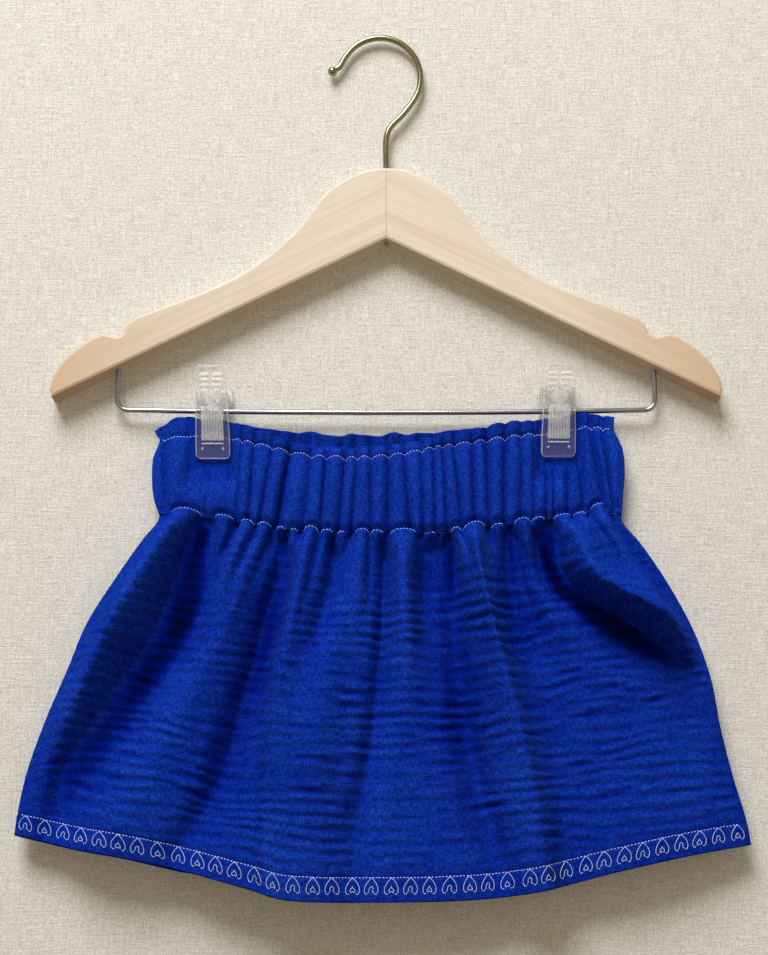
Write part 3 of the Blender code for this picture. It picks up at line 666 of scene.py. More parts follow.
# Sewing
STITCH_LENGTH = 1.1
STITCH_PITCH = 1.7
STITCH_RADIUS = 0.2
STITCH_ARCH = (-0.12, 0.06, 0.12, 0.12, 0.06, -0.12)
STITCH_TAPER = (0.45, 0.9, 1.0, 1.0, 0.9, 0.45)
STITCH_START = 0.4
STITCH_UNEVENNESS = 0.1
STITCH_LENGTHS = (0.8, 1.1)
STITCH_WANDER = 0.08
STITCH_SINK = 0.7
STITCH_SINK_REACH = 0.3
UPPER_ROW_SHARE = 0.0
SEAM_ROW_SHARE = 0.006
ROW_ENDS = (0.006, 0.994)
ROW_STEPS = 2400
THREAD_SIDES = 6
HEART_COUNT = 38
HEART_FIRST_X = -173.3
HEART_LAST_X = 175.1
HEART_THREAD = 0.12
HEART_STEPS = 4
HEART_STAND = 0.06
HEART_WANDER = 0.35
HEART_LEAN = 0.06
HEART_WIDTHS = (0.92, 1.05)
HEART_HALF = (
    # out from its middle, down from the stitched line
    (0.0, 0.2),
    (1.2, 1.4),
    (2.4, 3.0),
    (3.2, 4.9),
    (3.3, 6.4),
    (2.9, 7.5),
    (2.2, 8.0),
    (1.7, 7.6),
)
HEART_CURLS = (
    ((-1.5, 7.2), (-1.0, 6.4), (-0.9, 5.2), (0.0, 4.2), (0.9, 5.2), (0.6, 6.3), (1.0, 7.1), (1.5, 7.2)),
    (
        (0.1, 4.2),
        (-0.5, 5.1),
        (-1.2, 6.2),
        (-0.9, 7.1),
        (0.0, 6.7),
        (0.9, 7.1),
        (1.1, 6.1),
        (0.4, 5.2),
        (-0.2, 4.5),
    ),
)

# Colours, pairs of them that a finish runs between, and what else the finishes need
# The gauze runs from its low to its high colours by its painted light and shade and a random cloud, and
# towards its painted shade colour in the deepest hollows
GAUZE_HIGH = ((0.0021, 0.0190, 0.298), (0.0125, 0.063, 0.445))
GAUZE_LOW = ((0.0006, 0.0066, 0.188), (0.0019, 0.0160, 0.275))
GAUZE_PAINTED_SHADE = (0.0004, 0.0024, 0.048)
GAUZE_SHEEN = (0.12, 0.34, 1.0)
GAUZE_CLOUD = 0.8
WEFT_NOISE_AT = 7.0  # clear of the warp's own noise
WHITE_THREAD = ((0.52, 0.66, 1.0), (0.86, 0.93, 1.0))
PALE_WOOD = ((0.79, 0.70, 0.58), (0.675, 0.56, 0.435))
WOOD_PORES = (0.71, 0.575, 0.44)
WOOD_ENDS = (0.62, 0.46, 0.30)
GRAIN_PACE_ALONG = 9.0
GRAIN_PACE_DEEP = 90.0
PORE_PACE = (6.0, 4.0, 7.0)  # finer than the grain, along each axis
GLUE = ((0.62, 0.47, 0.33), (0.80, 0.66, 0.50))
BRASS = ((0.39, 0.34, 0.20), (0.28, 0.24, 0.135))
CHROME = ((0.46, 0.47, 0.49), (0.34, 0.35, 0.37))
CLEAR_PLASTIC = ((0.955, 0.965, 0.97), 0.97, 0.02, 0.07)  # colour, clearness and two roughnesses
FROSTED_PLASTIC = ((0.93, 0.94, 0.93), 0.62, 0.25, 0.4)
LINEN = ((0.40, 0.388, 0.333), (1.0, 1.0, 0.95))
LINEN_SLUBS = 0.65  # how strongly the thick threads show
LINEN_LIGHT = 0.378
FLOOR_PAINT = ((0.74, 0.72, 0.67), (0.80, 0.78, 0.73))
ROOM = ((0.61, 0.475, 0.30), (0.27, 0.26, 0.24))
ROOM_RISE = (-0.7, 0.8)
ROOM_UNDER = (0.21, 0.165, 0.115)
ROOM_UNDER_RISE = (-0.65, -0.4)

# Camera and stage, in metres and degrees
CAMERA_PLACE = (0.00215, -0.92924, -0.43787)
CAMERA_TILT = 12.0
CAMERA_LENS = 70.0
CAMERA_SENSOR = 36.0
FLOOR_Z = -0.62
WALL_TOP_Z = 0.9
WALL_FOOT_Y = 0.0128
WALL_TOP_Y = -0.0090
WALL_HALF_WIDTH = 1.3
FLOOR_CORNERS = ((-1.5, -1.8), (1.5, -1.8), (1.5, 1.2), (-1.5, 1.2))
LIGHTS_AIM = (0.0, 0.0, -0.25)
WINDOW_LIGHT = ((-0.58, -1.57, 1.78), 1.5, 80.0, (0.98, 0.985, 1.0))  # place, size, power and colour
BACK_LIGHT = ((0.7, 1.3, 0.3), 1.2, 6.0, (0.96, 0.98, 1.0))


def column_of(rows, column):
    return np.array([row[column] for row in rows], dtype=float)


def smooth_step(value):
    held = np.clip(value, 0.0, 1.0)
    return held * held * (3.0 - 2.0 * held)


def bell(value, squareness=2):
    """1 at its middle, falling softly to 0 on both sides."""
    return np.exp(-(value**squareness))


def from_side(across):
    return np.minimum(across, 1 - across)


def read_along(rows, column, at):
    """A smooth curve through one column of a table, whose first column is the place along it."""
    places = column_of(rows, 0)
    values = column_of(rows, column)
    slopes = np.empty_like(values)
    slopes[1:-1] = (values[2:] - values[:-2]) / (places[2:] - places[:-2])
    slopes[0] = (values[1] - values[0]) / (places[1] - places[0])
    slopes[-1] = (values[-1] - values[-2]) / (places[-1] - places[-2])
    held = np.clip(at, places[0], places[-1])
    index = np.clip(np.searchsorted(places, held, side="right") - 1, 0, len(rows) - 2)
    span = places[index + 1] - places[index]
    share = (held - places[index]) / span
    rise = values[index + 1] - values[index]
    start = slopes[index] * span
    end = slopes[index + 1] * span
    return values[index] + share * (
        start + share * (3 * rise - 2 * start - end + share * (start + end - 2 * rise))
    )


def drifting(across, down, seed):
    """Smooth random relief from -1 to 1, with bumps about one unit apart, the same on each run."""
    lattice = np.random.default_rng(seed).uniform(-1.0, 1.0, (LATTICE, LATTICE))
    across, down = np.broadcast_arrays(across, down)
    column = np.floor(across).astype(int)
    row = np.floor(down).astype(int)
    right = smooth_step(across - column)
    below = smooth_step(down - row)
    upper_left = lattice[row % LATTICE, column % LATTICE]
    upper_right = lattice[row % LATTICE, (column + 1) % LATTICE]
    lower_left = lattice[(row + 1) % LATTICE, column % LATTICE]
    lower_right = lattice[(row + 1) % LATTICE, (column + 1) % LATTICE]
    upper = upper_left + (upper_right - upper_left) * right
    lower = lower_left + (lower_right - lower_left) * right
    return upper + (lower - upper) * below


def uneven(index, pace):
    """A number from -1 to 1 that wanders from one index to the next, the same on each run."""
    return math.sin(pace * index + pace)


def varied(value, index, pace, spread=BACK_UNEVENNESS):
    """A value that wanders about its middle by a share of it."""
    return value * (1 + spread * uneven(index, pace))


def spread_out(index, count, margin):
    """The middle of one of a number of even shares of the seam, clear of its ends by a margin."""
    left = PANEL_SECTIONS[0][1] + margin
    right = PANEL_SECTIONS[0][2] - margin
    return left + (right - left) * (index + 0.5) / count


def back_gathers():
    rows = []
    for index in range(BACK_GATHERS):
        middle = spread_out(index, BACK_GATHERS, BACK_GATHER_MARGIN)
        ends = [middle + BACK_GATHER_DRIFT * uneven(index, pace) for pace in (2.4, 3.1)]
        rows.append((*ends, varied(BACK_GATHER_DEPTH, index, 1.7)))
    return rows


def back_puffs():
    rows = []
    for index in range(BACK_PUFFS):
        middle = spread_out(index, BACK_PUFFS, BACK_PUFF_MARGIN) + BACK_PUFF_DRIFT * uneven(index, 2.1)
        half_width = varied(BACK_PUFF_HALF_WIDTH, index, 2.7, 0.5 * BACK_UNEVENNESS)
        shape = [
            varied(value, index, pace)
            for value, pace in ((BACK_PUFF_RISE, 2.3), (BACK_PUFF_HEIGHT, 1.3), (BACK_PUFF_LENGTH, 1.9))
        ]
        rows.append((middle - half_width, middle + half_width, *shape))
    return rows


def puffs_of(front):
    return FRONT_PUFFS if front else back_puffs()


def facing_of(front):
    """Which way along Y the outside of a wall looks."""
    return -1 if front else 1


def seed_of(pair, front):
    return pair[0] if front else pair[1]


def back_pleats():
    """Pleats between the puffs behind, leaning outwards as they fall like those in front."""
    puffs = back_puffs()
    rows = []
    for index in range(BACK_PLEATS):
        start = (puffs[index][1] + puffs[index + 1][0]) / 2
        length = varied(BACK_PLEAT_LENGTH, index, 2.2, 1.5 * BACK_UNEVENNESS)
        lean = start * length * BACK_PLEAT_LEAN + BACK_PLEAT_DRIFT * uneven(index, 1.1)
        reach = varied(BACK_PLEAT_REACH, index, 1.5)
        rows.append((start, start + lean, length, varied(BACK_PLEAT_DEPTH, index, 2.9), reach, reach))
    return rows


def back_creases():
    """Creases behind, as uneven in length, depth and spacing as those in front."""
    rng = np.random.default_rng(BACK_CREASE_SEED)
    top, run = BACK_CREASE_RUN
    rows = []
    for index in range(BACK_CREASES):
        share = top + run * (index + 0.5) / BACK_CREASES
        narrowing = 1 - BACK_CREASE_NARROWING + BACK_CREASE_NARROWING * share
        x = rng.uniform(*BACK_CREASE_SPAN) * narrowing
        rows.append((x, share, *(rng.uniform(*ends) for ends in BACK_CREASE_RANGES)))
    return rows


def grip(x, z, drop):
    """1 where the clips press the band flat, 0 well away from them and from the drop below them."""
    nearest = np.min([np.abs(x - middle) for _, middle, *_ in CLIPS], axis=0)
    sideways = 1 - smooth_step((nearest - CLIP_GRIP_HALF) / CLIP_GRIP_FADE)
    below = 1 - CLIP_GRIP_LOSS * smooth_step((CLIP_GRIP_BOTTOM_Z - z) / drop)
    return sideways * below


def swell_shape(share):
    """How far a wall stands off between its two side seams, from 0 at a seam to 1."""
    squareness, edge = SWELL_POWERS
    return np.maximum(1 - np.abs(2 * share - 1) ** squareness, 0.0) ** edge


def arch_over(x, left, right, power):
    """1 over the middle of a puff and 0 from its ends outwards."""
    off = (2 * x - left - right) / (right - left)
    return np.clip(1 - off**2, 0.0, 1.0) ** power


def seam_rise(puffs, x):
    """How far the seam under the band arches up over the puffs."""
    return sum(rise * arch_over(x, left, right, ARCH_POWER) for left, right, rise, _, _ in puffs)


def band_height(front, share, x):
    """Height in the band at a share of its depth, where 0 is the upper row and 1 the lower one."""
    heading, upper, lower = (1, 2, 3) if front else (4, 5, 6)
    upper_z = read_along(WAIST_LINES, upper, x)
    heading_z = read_along(WAIST_LINES, heading, x)
    lower_z = read_along(WAIST_LINES, lower, x)
    above = upper_z + (heading_z - upper_z) * share / HEADING_SHARE
    return np.where(share < 0, above, upper_z + (lower_z - upper_z) * share)


def gather_relief(gathers, x, left, right, down):
    """(depth of the valley here, how far up the crown between two valleys this lies)."""
    valleys = [(left, 0.0)]
    valleys += [(top + (bottom - top) * down, depth) for top, bottom, depth in gathers]
    valleys += [(right, 0.0)]
    depths = np.zeros_like(x)
    crowns = np.zeros_like(x)
    for (start, start_depth), (end, end_depth) in zip(valleys, valleys[1:]):
        part = (x - start) / (end - start)
        here = (part >= 0) & (part <= 1)
        held = np.clip(part, 0.0, 1.0)
        depths = np.where(here, start_depth + (end_depth - start_depth) * held, depths)
        crowns = np.where(here, np.sin(math.pi * held) ** CROWN_POWER, crowns)
    return depths, crowns


def band_surface(front, across, share):
    """Points on the outside of the waist casing and its frill, and the painted light and shade of each."""
    gathers = FRONT_GATHERS if front else back_gathers()
    seed = seed_of(BAND_SEEDS, front)
    across, share = np.broadcast_arrays(across, share)
    left = read_along(BAND_SECTIONS, 1, share)
    right = read_along(BAND_SECTIONS, 2, share)
    swell = read_along(BAND_SECTIONS, 3 if front else 4, share)
    x = left + (right - left) * across
    down = np.maximum(share, 0.0)
    frill = np.clip(share / HEADING_SHARE, 0.0, 1.0)
    depth, crown = gather_relief(gathers, x, left, right, down)
    z = band_height(front, share, x)
    loose = 1 - grip(x, z, CLIP_CRUSH_DROP)
    pressed = grip(x, z, CLIP_GRIP_DROP)

    near_upper = 1 - smooth_step(down / UPPER_SCALLOP_REACH)
    scallop = near_upper * loose * UPPER_SCALLOP * (crown - SCALLOP_MIDDLE) * np.minimum(depth, 1.0)
    z = z + scallop * (1 - FRILL_SCALLOP_LOSS * frill)
    z = z + frill * FRILL_EDGE_WAVE * drifting(x / FRILL_EDGE_SPACING, np.zeros_like(x), seed + 3)
    arch_from, arch_run = SEAM_ARCH_RUN
    z = z + smooth_step((share - arch_from) / arch_run) * seam_rise(puffs_of(front), x)

    stand = swell * swell_shape(across) * (1 - pressed)
    ease = loose * np.minimum(1.0, stand / FULL_RELIEF_STAND)
    dip = GATHER_DEEPENING * depth * (1 - crown) * (1 + (FRILL_DEEPENING - 1) * frill)
    bulge = CASING_BULGE * np.sin(math.pi * np.clip(down, 0, 1)) ** CASING_BULGE_POWER
    tuck_from, tuck_run = SEAM_TUCK_RUN
    rows = ROW_DIP * bell(share / ROW_DIP_HALF)
    rows = rows + SEAM_TUCK * smooth_step((share - tuck_from) / tuck_run)
    wave = FRILL_WAVE * frill * drifting(x / FRILL_WAVE_SPACING, share * FRILL_WAVE_PACE, seed)
    soft = sum(
        height * drifting(x / wide, z / long, seed + step)
        for step, (height, wide, long) in enumerate(CASING_RUCKS, 1)
    )
    start, end = FRILL_LEAN_SPAN
    lean = FRILL_LEAN * frill * smooth_step((x - start) / FRILL_LEAN_EASE)
    lean = lean * smooth_step((end - x) / FRILL_LEAN_EASE) * front
    stand = stand + (bulge - dip - rows + wave + soft - lean) * ease
    y = HALF_GAP + BAND_WALL + np.maximum(stand, 0.0)

    # Painted shade in the gathers' valleys and where the clips press the band, and painted light where the
    # frill waves out
    shade = GATHER_SHADE * depth * (1 - crown) * ease + CLIP_SHADE * pressed
    light = np.clip(BAND_LIGHTNESS - shade + FRILL_WAVE_LIGHT * wave, 0.0, 1.0)
    return np.stack((x, facing_of(front) * y, z), axis=-1), light


def band_points(front, across, share):
    return band_surface(front, across, share)[0]


def fold_height(folds, x, share):
    total = np.zeros_like(x)
    for rows in folds:
        away = x - read_along(rows, 1, share)
        reach = np.where(away < 0, read_along(rows, 3, share), read_along(rows, 4, share))
        total += read_along(rows, 2, share) * bell(away / reach)
    return total * smooth_step(share / FOLD_ONSET)


def puff_height(puffs, x_at_seam, share):
    total = np.zeros_like(x_at_seam)
    for left, right, _, height, length in puffs:
        down = share / length
        total += height * arch_over(x_at_seam, left, right, ARCH_POWER + down) * bell(down)
    return total * smooth_step(share / PUFF_RISE)


def pleat_depth(pleats, x, share):
    total = np.zeros_like(x)
    for start, end, length, depth, reach_left, reach_right in pleats:
        along = share / length
        away = x - (start + (end - start) * along)
        widening = 1 + along
        reach = np.where(away < 0, reach_left, reach_right) * widening * PLEAT_WIDENING
        total += depth * bell(away / reach) * (1 - smooth_step(along))
    return total


def crease_relief(creases, x, share, fall):
    """Troughs across the cloth with a soft swell to each side."""
    total = np.zeros_like(x)
    for place, down, half_length, drop, depth in creases:
        along = (x - place) / half_length
        off = ((share - down) * fall - drop * along) / CREASE_HALF
        window = np.clip(1 - along**2, 0.0, 1.0) ** CREASE_TAPER
        shoulder = CREASE_SHOULDER * bell(np.abs(off) - CREASE_SHOULDER_AT)
        total += CREASE_DEEPENING * depth * window * (shoulder - bell(off))
    return total


def crinkle(x, down, seed):
    """The puckered ribs of double gauze, which run across the skirt and break up as they go."""
    bend, kink, lively, fine, warp_bend, broad, swing = (
        drifting(x / wide, down / long, seed + step) for step, (wide, long) in enumerate(CRINKLE_SPACINGS)
    )
    bend = RIB_DRIFT * bend + RIB_KINK * kink
    rib = np.abs(np.sin(math.pi * (down / RIB_PITCH + bend))) ** RIB_POWER
    middle, change, least, most = RIB_STRENGTH
    strength = np.clip(middle + change * lively, least, most)
    warp = np.abs(np.sin(math.pi * (x / WARP_PITCH + WARP_BEND * warp_bend))) ** WARP_POWER
    ribs = RIB_HEIGHT * strength * (rib - RIB_MIDDLE) + FINE_RIB_HEIGHT * fine + WARP_HEIGHT * warp
    return ribs + BROAD_WAVE_HEIGHT * (broad + SWING * swing)


def panel_sides(share):
    """Where the two side seams of the skirt lie at a share of its fall."""
    return read_along(PANEL_SECTIONS, 1, share), read_along(PANEL_SECTIONS, 2, share)


def side_round(across, width):
    """How far a wall has turned out of its side seam, from nearly 0 at the seam to 1."""
    off = np.clip(from_side(across) * width / PANEL_WALL, 0.0, 1.0)
    return SIDE_EDGE + (1 - SIDE_EDGE) * np.sqrt(1 - (1 - off) ** 2)


def panel_form(front, across, share):
    """(x, distance from the middle plane, z, fall, shade) of the skirt's outside before its crinkle.

    The shade is painted shade for the depth of a fold that would pass the middle plane. It also paints a
    little shade into the other hollows, and paints light onto the ridges and puffs.
    """
    folds = FRONT_FOLDS if front else BACK_FOLDS
    pleats = FRONT_PLEATS if front else back_pleats()
    puffs = puffs_of(front)
    left, right = panel_sides(share)
    swell = read_along(PANEL_SECTIONS, 3 if front else 4, share)
    x = left + (right - left) * across
    seam_x = PANEL_SECTIONS[0][1] + (PANEL_SECTIONS[0][2] - PANEL_SECTIONS[0][1]) * across
    hem_x = HEM_LINES[0][0] + (HEM_LINES[-1][0] - HEM_LINES[0][0]) * across
    seam_z = read_along(WAIST_LINES, 3 if front else 6, seam_x) + SEAM_LAP
    fall = seam_z - read_along(HEM_LINES, 1 if front else 2, hem_x)
    z = seam_z - fall * share + seam_rise(puffs, seam_x) * (1 - smooth_step(share / ARCH_FADE))

    calm = smooth_step(from_side(across) / SIDE_CALM)
    relief = (FOLD_DEEPENING if front else BACK_FOLD_DEEPENING) * fold_height(folds, x, share)
    puffed = puff_height(puffs, seam_x, share)
    relief = relief + PUFF_FULLNESS * puffed
    relief = relief - PLEAT_DEEPENING * pleat_depth(pleats, x, share)
    stand = swell * swell_shape(across) + relief * calm
    # Painted shade in folds too deep for the wall, painted light on puffs and ridges and painted shade in the
    # other hollows
    shade = HOLLOW_SHADE * smooth_step(-stand / HOLLOW_DEPTH)
    shade = shade - PUFF_LIGHT * puffed - FOLD_LIGHT * np.clip(relief, -FOLD_LIGHT_REACH, FOLD_LIGHT_REACH)

    stand = (stand + np.sqrt(stand**2 + INNER_REST**2) - INNER_REST) / 2
    stand = stand - PUFF_TUCK * bell(share * fall / PUFF_TUCK_REACH) * calm
    stand = stand + HEM_STEP * smooth_step((share - HEM_SHARE) / HEM_EASE)
    y = HALF_GAP + PANEL_WALL * side_round(across, right - left) + np.maximum(stand, 0.0)
    return x, y, z, fall, shade


def panel_surface(front, across, share):
    """Points on the outside of the gathered skirt, and the painted light and shade of each."""
    across, share = np.broadcast_arrays(across, share)
    x, y, z, fall, shade = panel_form(front, across, share)
    base = np.stack((x, y, z), axis=-1)
    along = np.stack(panel_form(front, across + NORMAL_STEP, share)[:3], axis=-1) - base
    down = np.stack(panel_form(front, across, share + NORMAL_STEP)[:3], axis=-1) - base
    outwards = np.cross(along, down)
    outwards /= np.linalg.norm(outwards, axis=-1, keepdims=True)

    onset, onset_run = CRINKLE_ONSET
    below_seam = smooth_step((share - onset) / onset_run)
    above_hem = 1 - HEM_CALM * smooth_step((share - HEM_SHARE + HEM_CALM_RUN) / HEM_CALM_RUN)
    texture = crinkle(x, share * fall, seed_of(CRINKLE_SEEDS, front))
    texture = texture * (CRINKLE_AT_SEAM + (1 - CRINKLE_AT_SEAM) * below_seam)
    texture = texture + crease_relief(FRONT_CREASES if front else back_creases(), x, share, fall)
    at_side = smooth_step(from_side(across) / TEXTURE_CALM)
    texture = texture * above_hem * (TEXTURE_AT_SIDE + (1 - TEXTURE_AT_SIDE) * at_side)
    from_row = (share - HEM_SHARE) * fall
    wide, pace = HEM_PUCKER_SPACING
    pucker = HEM_PUCKER * drifting(x / wide, share * pace, HEM_PUCKER_SEED)
    texture = texture + pucker * bell(from_row / HEM_PUCKER_REACH)
    texture = texture - HEM_ROW_DIP * bell(from_row / HEM_ROW_REACH)
    points = base + outwards * texture[..., None]
    points[..., 1] = facing_of(front) * np.maximum(points[..., 1], HALF_GAP)
    # The crinkle's ridges are painted lighter and its troughs darker, on top of the painted shade of the
    # folds
    return points, np.clip(PANEL_LIGHTNESS + texture / RELIEF_PER_PAINTED_LIGHT, 0.0, 1.0) - shade


def panel_points(front, across, share):
    return panel_surface(front, across, share)[0]


def put_in_scene(name, data):
    made = bpy.data.objects.new(name, data)
    bpy.context.scene.collection.objects.link(made)
    return made


def mesh_object(name, points, faces, material, cloth_at_and_shade=None):
    """A smooth closed mesh of points in millimetres, with its faces turned outwards."""
    mesh = bpy.data.meshes.new(name)
    mesh.from_pydata((np.asarray(points) * MM).tolist(), [], faces)
    # The third value of the place on the cloth carries its painted light and shade
    if cloth_at_and_shade is not None:
        stored = mesh.attributes.new("cloth_at_and_shade", "FLOAT_VECTOR", "POINT")
        stored.data.foreach_set("vector", np.ascontiguousarray(cloth_at_and_shade, dtype=np.float32).ravel())
    turned = bmesh.new()
    turned.from_mesh(mesh)
    bmesh.ops.recalc_face_normals(turned, faces=turned.faces)
    turned.to_mesh(mesh)
    turned.free()
    mesh.shade_smooth()
    mesh.materials.append(material)
    return put_in_scene(name, mesh)


def grid_faces(indices):
    corners = (indices[:-1, :-1], indices[:-1, 1:], indices[1:, 1:], indices[1:, :-1])
    return np.stack(corners, axis=-1).reshape(-1, 4).tolist()


def border_of(indices):
    """The border of a grid, once round."""
    return np.concatenate(
        (indices[0, :-1], indices[:-1, -1], indices[-1, :0:-1], indices[:0:-1, 0])
    ).tolist()


def closed_wall(name, outer, inner, material, cloth_at_and_shade=None):
    """A closed wall from a fine outer grid and an inner one with every second point of it."""
    outer_at = np.arange(outer.shape[0] * outer.shape[1]).reshape(outer.shape[:2])
    inner_at = outer_at.size + np.arange(inner.shape[0] * inner.shape[1]).reshape(inner.shape[:2])
    faces = grid_faces(outer_at) + grid_faces(inner_at)
    outer_rim = border_of(outer_at)
    inner_rim = border_of(inner_at)
    for index, point in enumerate(inner_rim):
        after = outer_rim[(2 * index + 2) % len(outer_rim)]
        ends = [inner_rim[(index + 1) % len(inner_rim)], point]
        faces.append([outer_rim[2 * index], outer_rim[2 * index + 1], after] + ends)
    points = np.concatenate((outer.reshape(-1, 3), inner.reshape(-1, 3)))
    if cloth_at_and_shade is not None:
        cloth_at_and_shade = np.concatenate((cloth_at_and_shade.reshape(-1, 3), cloth_at_and_shade[::2, ::2].reshape(-1, 3)))
    return mesh_object(name, points, faces, material, cloth_at_and_shade=cloth_at_and_shade)


def spaced(count, knots):
    """Shares in order, closer together where the knots of (step, share) say so."""
    steps, shares = zip(*knots)
    return np.interp(np.linspace(0.0, 1.0, count), steps, shares)


def end_round(distance, radius):
    """How full a wall is at a distance from its free edge, for a rounded edge."""
    off = np.clip(distance / radius, 0.0, 1.0)
    return END_EDGE + (1 - END_EDGE) * np.sqrt(1 - (1 - off) ** 2)


def cloth_wall(name, points, thickness, fullness, front, cut_at_and_shade, material):
    """A wall of cloth behind its outer points, thinned to a round edge where it isn't full."""
    facing = facing_of(front)
    outer = points.copy()
    outer[..., 1] -= facing * thickness / 2 * (1 - fullness)
    inner = points[::2, ::2].copy()
    inner[..., 1] -= facing * (thickness * (1 + fullness) / 2)[::2, ::2]
    return closed_wall(name, outer, inner, material, cut_at_and_shade)


def make_panel(name, front, grid, material):
    columns, rows = grid
    across = spaced(columns, PANEL_ACROSS)[None, :]
    share = spaced(rows, PANEL_DOWN)[:, None]
    points, light = panel_surface(front, across, share)
    left, right = panel_sides(share)
    thickness = PANEL_CLOTH + (HEM_CLOTH - PANEL_CLOTH) * smooth_step((share - HEM_SHARE) / HEM_EASE)
    thickness = thickness * side_round(across, right - left)
    fullness = end_round((1 - share) * MEAN_FALL, HEM_EDGE) * np.ones_like(across)
    cut_at_and_shade = np.stack(np.broadcast_arrays(across * CUT_WIDTH, share * CUT_FALL, light), axis=-1)
    return cloth_wall(name, points, thickness, fullness, front, cut_at_and_shade, material)


def make_band(name, front, grid, material):
    columns, rows = grid
    across = spaced(columns, BAND_ACROSS)[None, :]
    share = spaced(rows, BAND_DOWN)[:, None]
    points, light = band_surface(front, across, share)
    thickness = FRILL_CLOTH + (BAND_CLOTH - FRILL_CLOTH) * smooth_step((share + CASING_EASE) / CASING_EASE)
    thickness = thickness * side_round(across, BAND_WIDTH)
    fullness = end_round((share - HEADING_SHARE) * BAND_DEPTH, FRILL_EDGE) * np.ones_like(across)
    cut_at_and_shade = np.stack(np.broadcast_arrays(across * CUT_WIDTH, share * BAND_DEPTH, light), axis=-1)
    return cloth_wall(name, points, thickness, fullness, front, cut_at_and_shade, material)


def tubes(name, paths, radii, sides, material):
    """Round threads or wires along (x, y, z) paths that keep near one XZ plane, joined as one mesh."""
    turns = 2 * math.pi * np.arange(sides) / sides
    points = []
    faces = []
    start = 0
    for path, radius in zip(paths, radii):
        path = np.asarray(path, dtype=float)
        tangent = np.gradient(path, axis=0)
        tangent /= np.linalg.norm(tangent, axis=1, keepdims=True)
        sideways = np.cross(tangent, (0.0, 1.0, 0.0))
        sideways /= np.linalg.norm(sideways, axis=1, keepdims=True)
        outwards = np.cross(sideways, tangent)
        rings = path[:, None, :] + np.asarray(radius, dtype=float).reshape(-1, 1, 1) * (
            sideways[:, None, :] * np.cos(turns)[None, :, None]
            + outwards[:, None, :] * np.sin(turns)[None, :, None]
        )
        points.append(rings.reshape(-1, 3))
        ring_at = start + np.arange(len(path) * sides).reshape(len(path), sides)
        faces += grid_faces(np.concatenate((ring_at, ring_at[:, :1]), axis=1))
        faces.append(ring_at[0].tolist())
        faces.append(ring_at[-1, ::-1].tolist())
        start += len(path) * sides
    return mesh_object(name, np.concatenate(points), faces, material)


def stitches_along(path, facing, seed):
    """Running stitches on a surface: (points of each stitch, its radii)."""
    steps = np.linalg.norm(np.diff(path, axis=0), axis=1)
    at = np.concatenate(([0.0], np.cumsum(steps)))
    rng = np.random.default_rng(seed)
    paths = []
    count = int((at[-1] - STITCH_LENGTH) / STITCH_PITCH)
    for index in range(count):
        start = STITCH_START + index * STITCH_PITCH + rng.uniform(-STITCH_UNEVENNESS, STITCH_UNEVENNESS)
        along = start + STITCH_LENGTH * rng.uniform(*STITCH_LENGTHS) * np.linspace(0, 1, len(STITCH_ARCH))
        points = np.stack([np.interp(along, at, path[:, axis]) for axis in range(3)], axis=-1)
        points[:, 1] += facing * np.array(STITCH_ARCH)
        points[:, 2] += rng.uniform(-STITCH_WANDER, STITCH_WANDER)
        paths.append(points)
    return paths, [STITCH_RADIUS * np.array(STITCH_TAPER)] * count


def sew_row(name, points_of, front, share, material, seed, sunk=False):
    """A row of running stitches, which can sink into the cloth between the puffs."""
    across = np.linspace(*ROW_ENDS, ROW_STEPS)
    path = points_of(front, across, np.full_like(across, share))
    facing = facing_of(front)
    if sunk:
        over = sum(arch_over(path[:, 0], left, right, 1.0) for left, right, *_ in puffs_of(front))
        path[:, 1] -= facing * STITCH_SINK * (1 - smooth_step(over / STITCH_SINK_REACH))
    paths, radii = stitches_along(path, facing, seed)
    return tubes(name, paths, radii, THREAD_SIDES, material)


def curve_through(points, steps):
    """Points on a smooth curve through the given ones."""
    points = np.asarray(points, dtype=float)
    ahead = np.concatenate((points[:1], points, points[-1:]))
    shares = np.linspace(0, 1, steps, endpoint=False)[:, None]
    pieces = []
    for before, start, end, after in zip(ahead, ahead[1:], ahead[2:], ahead[3:]):
        bend = 2 * before - 5 * start + 4 * end - after
        twist = 3 * start - before - 3 * end + after
        pieces.append(start + shares * ((end - before) + shares * (bend + shares * twist)) / 2)
    return np.concatenate(pieces + [points[-1:]])


def embroider_hearts(name, front, material):
    """The row of small hearts that hang point up from the stitched line of the hem."""
    rng = np.random.default_rng(seed_of(HEART_SEEDS, front))
    half = np.array(HEART_HALF)
    outline = np.concatenate((half[::-1] * (-1, 1), half[1:]))
    paths = []
    for index in range(HEART_COUNT):
        middle = HEART_FIRST_X + (HEART_LAST_X - HEART_FIRST_X) * index / (HEART_COUNT - 1)
        middle += rng.uniform(-HEART_WANDER, HEART_WANDER)
        lean = rng.uniform(-HEART_LEAN, HEART_LEAN)
        width = rng.uniform(*HEART_WIDTHS)
        for shape in (outline, np.array(HEART_CURLS[index % 2])):
            local = curve_through(shape * (width, 1.0), HEART_STEPS)
            x = middle + local[:, 0] + lean * local[:, 1]
            share = HEM_SHARE + local[:, 1] / MEAN_FALL
            left, right = panel_sides(share)
            points = panel_points(front, (x - left) / (right - left), share)
            points[:, 1] += facing_of(front) * HEART_STAND
            paths.append(points)
    return tubes(name, paths, [np.full(len(path), HEART_THREAD) for path in paths], THREAD_SIDES, material)


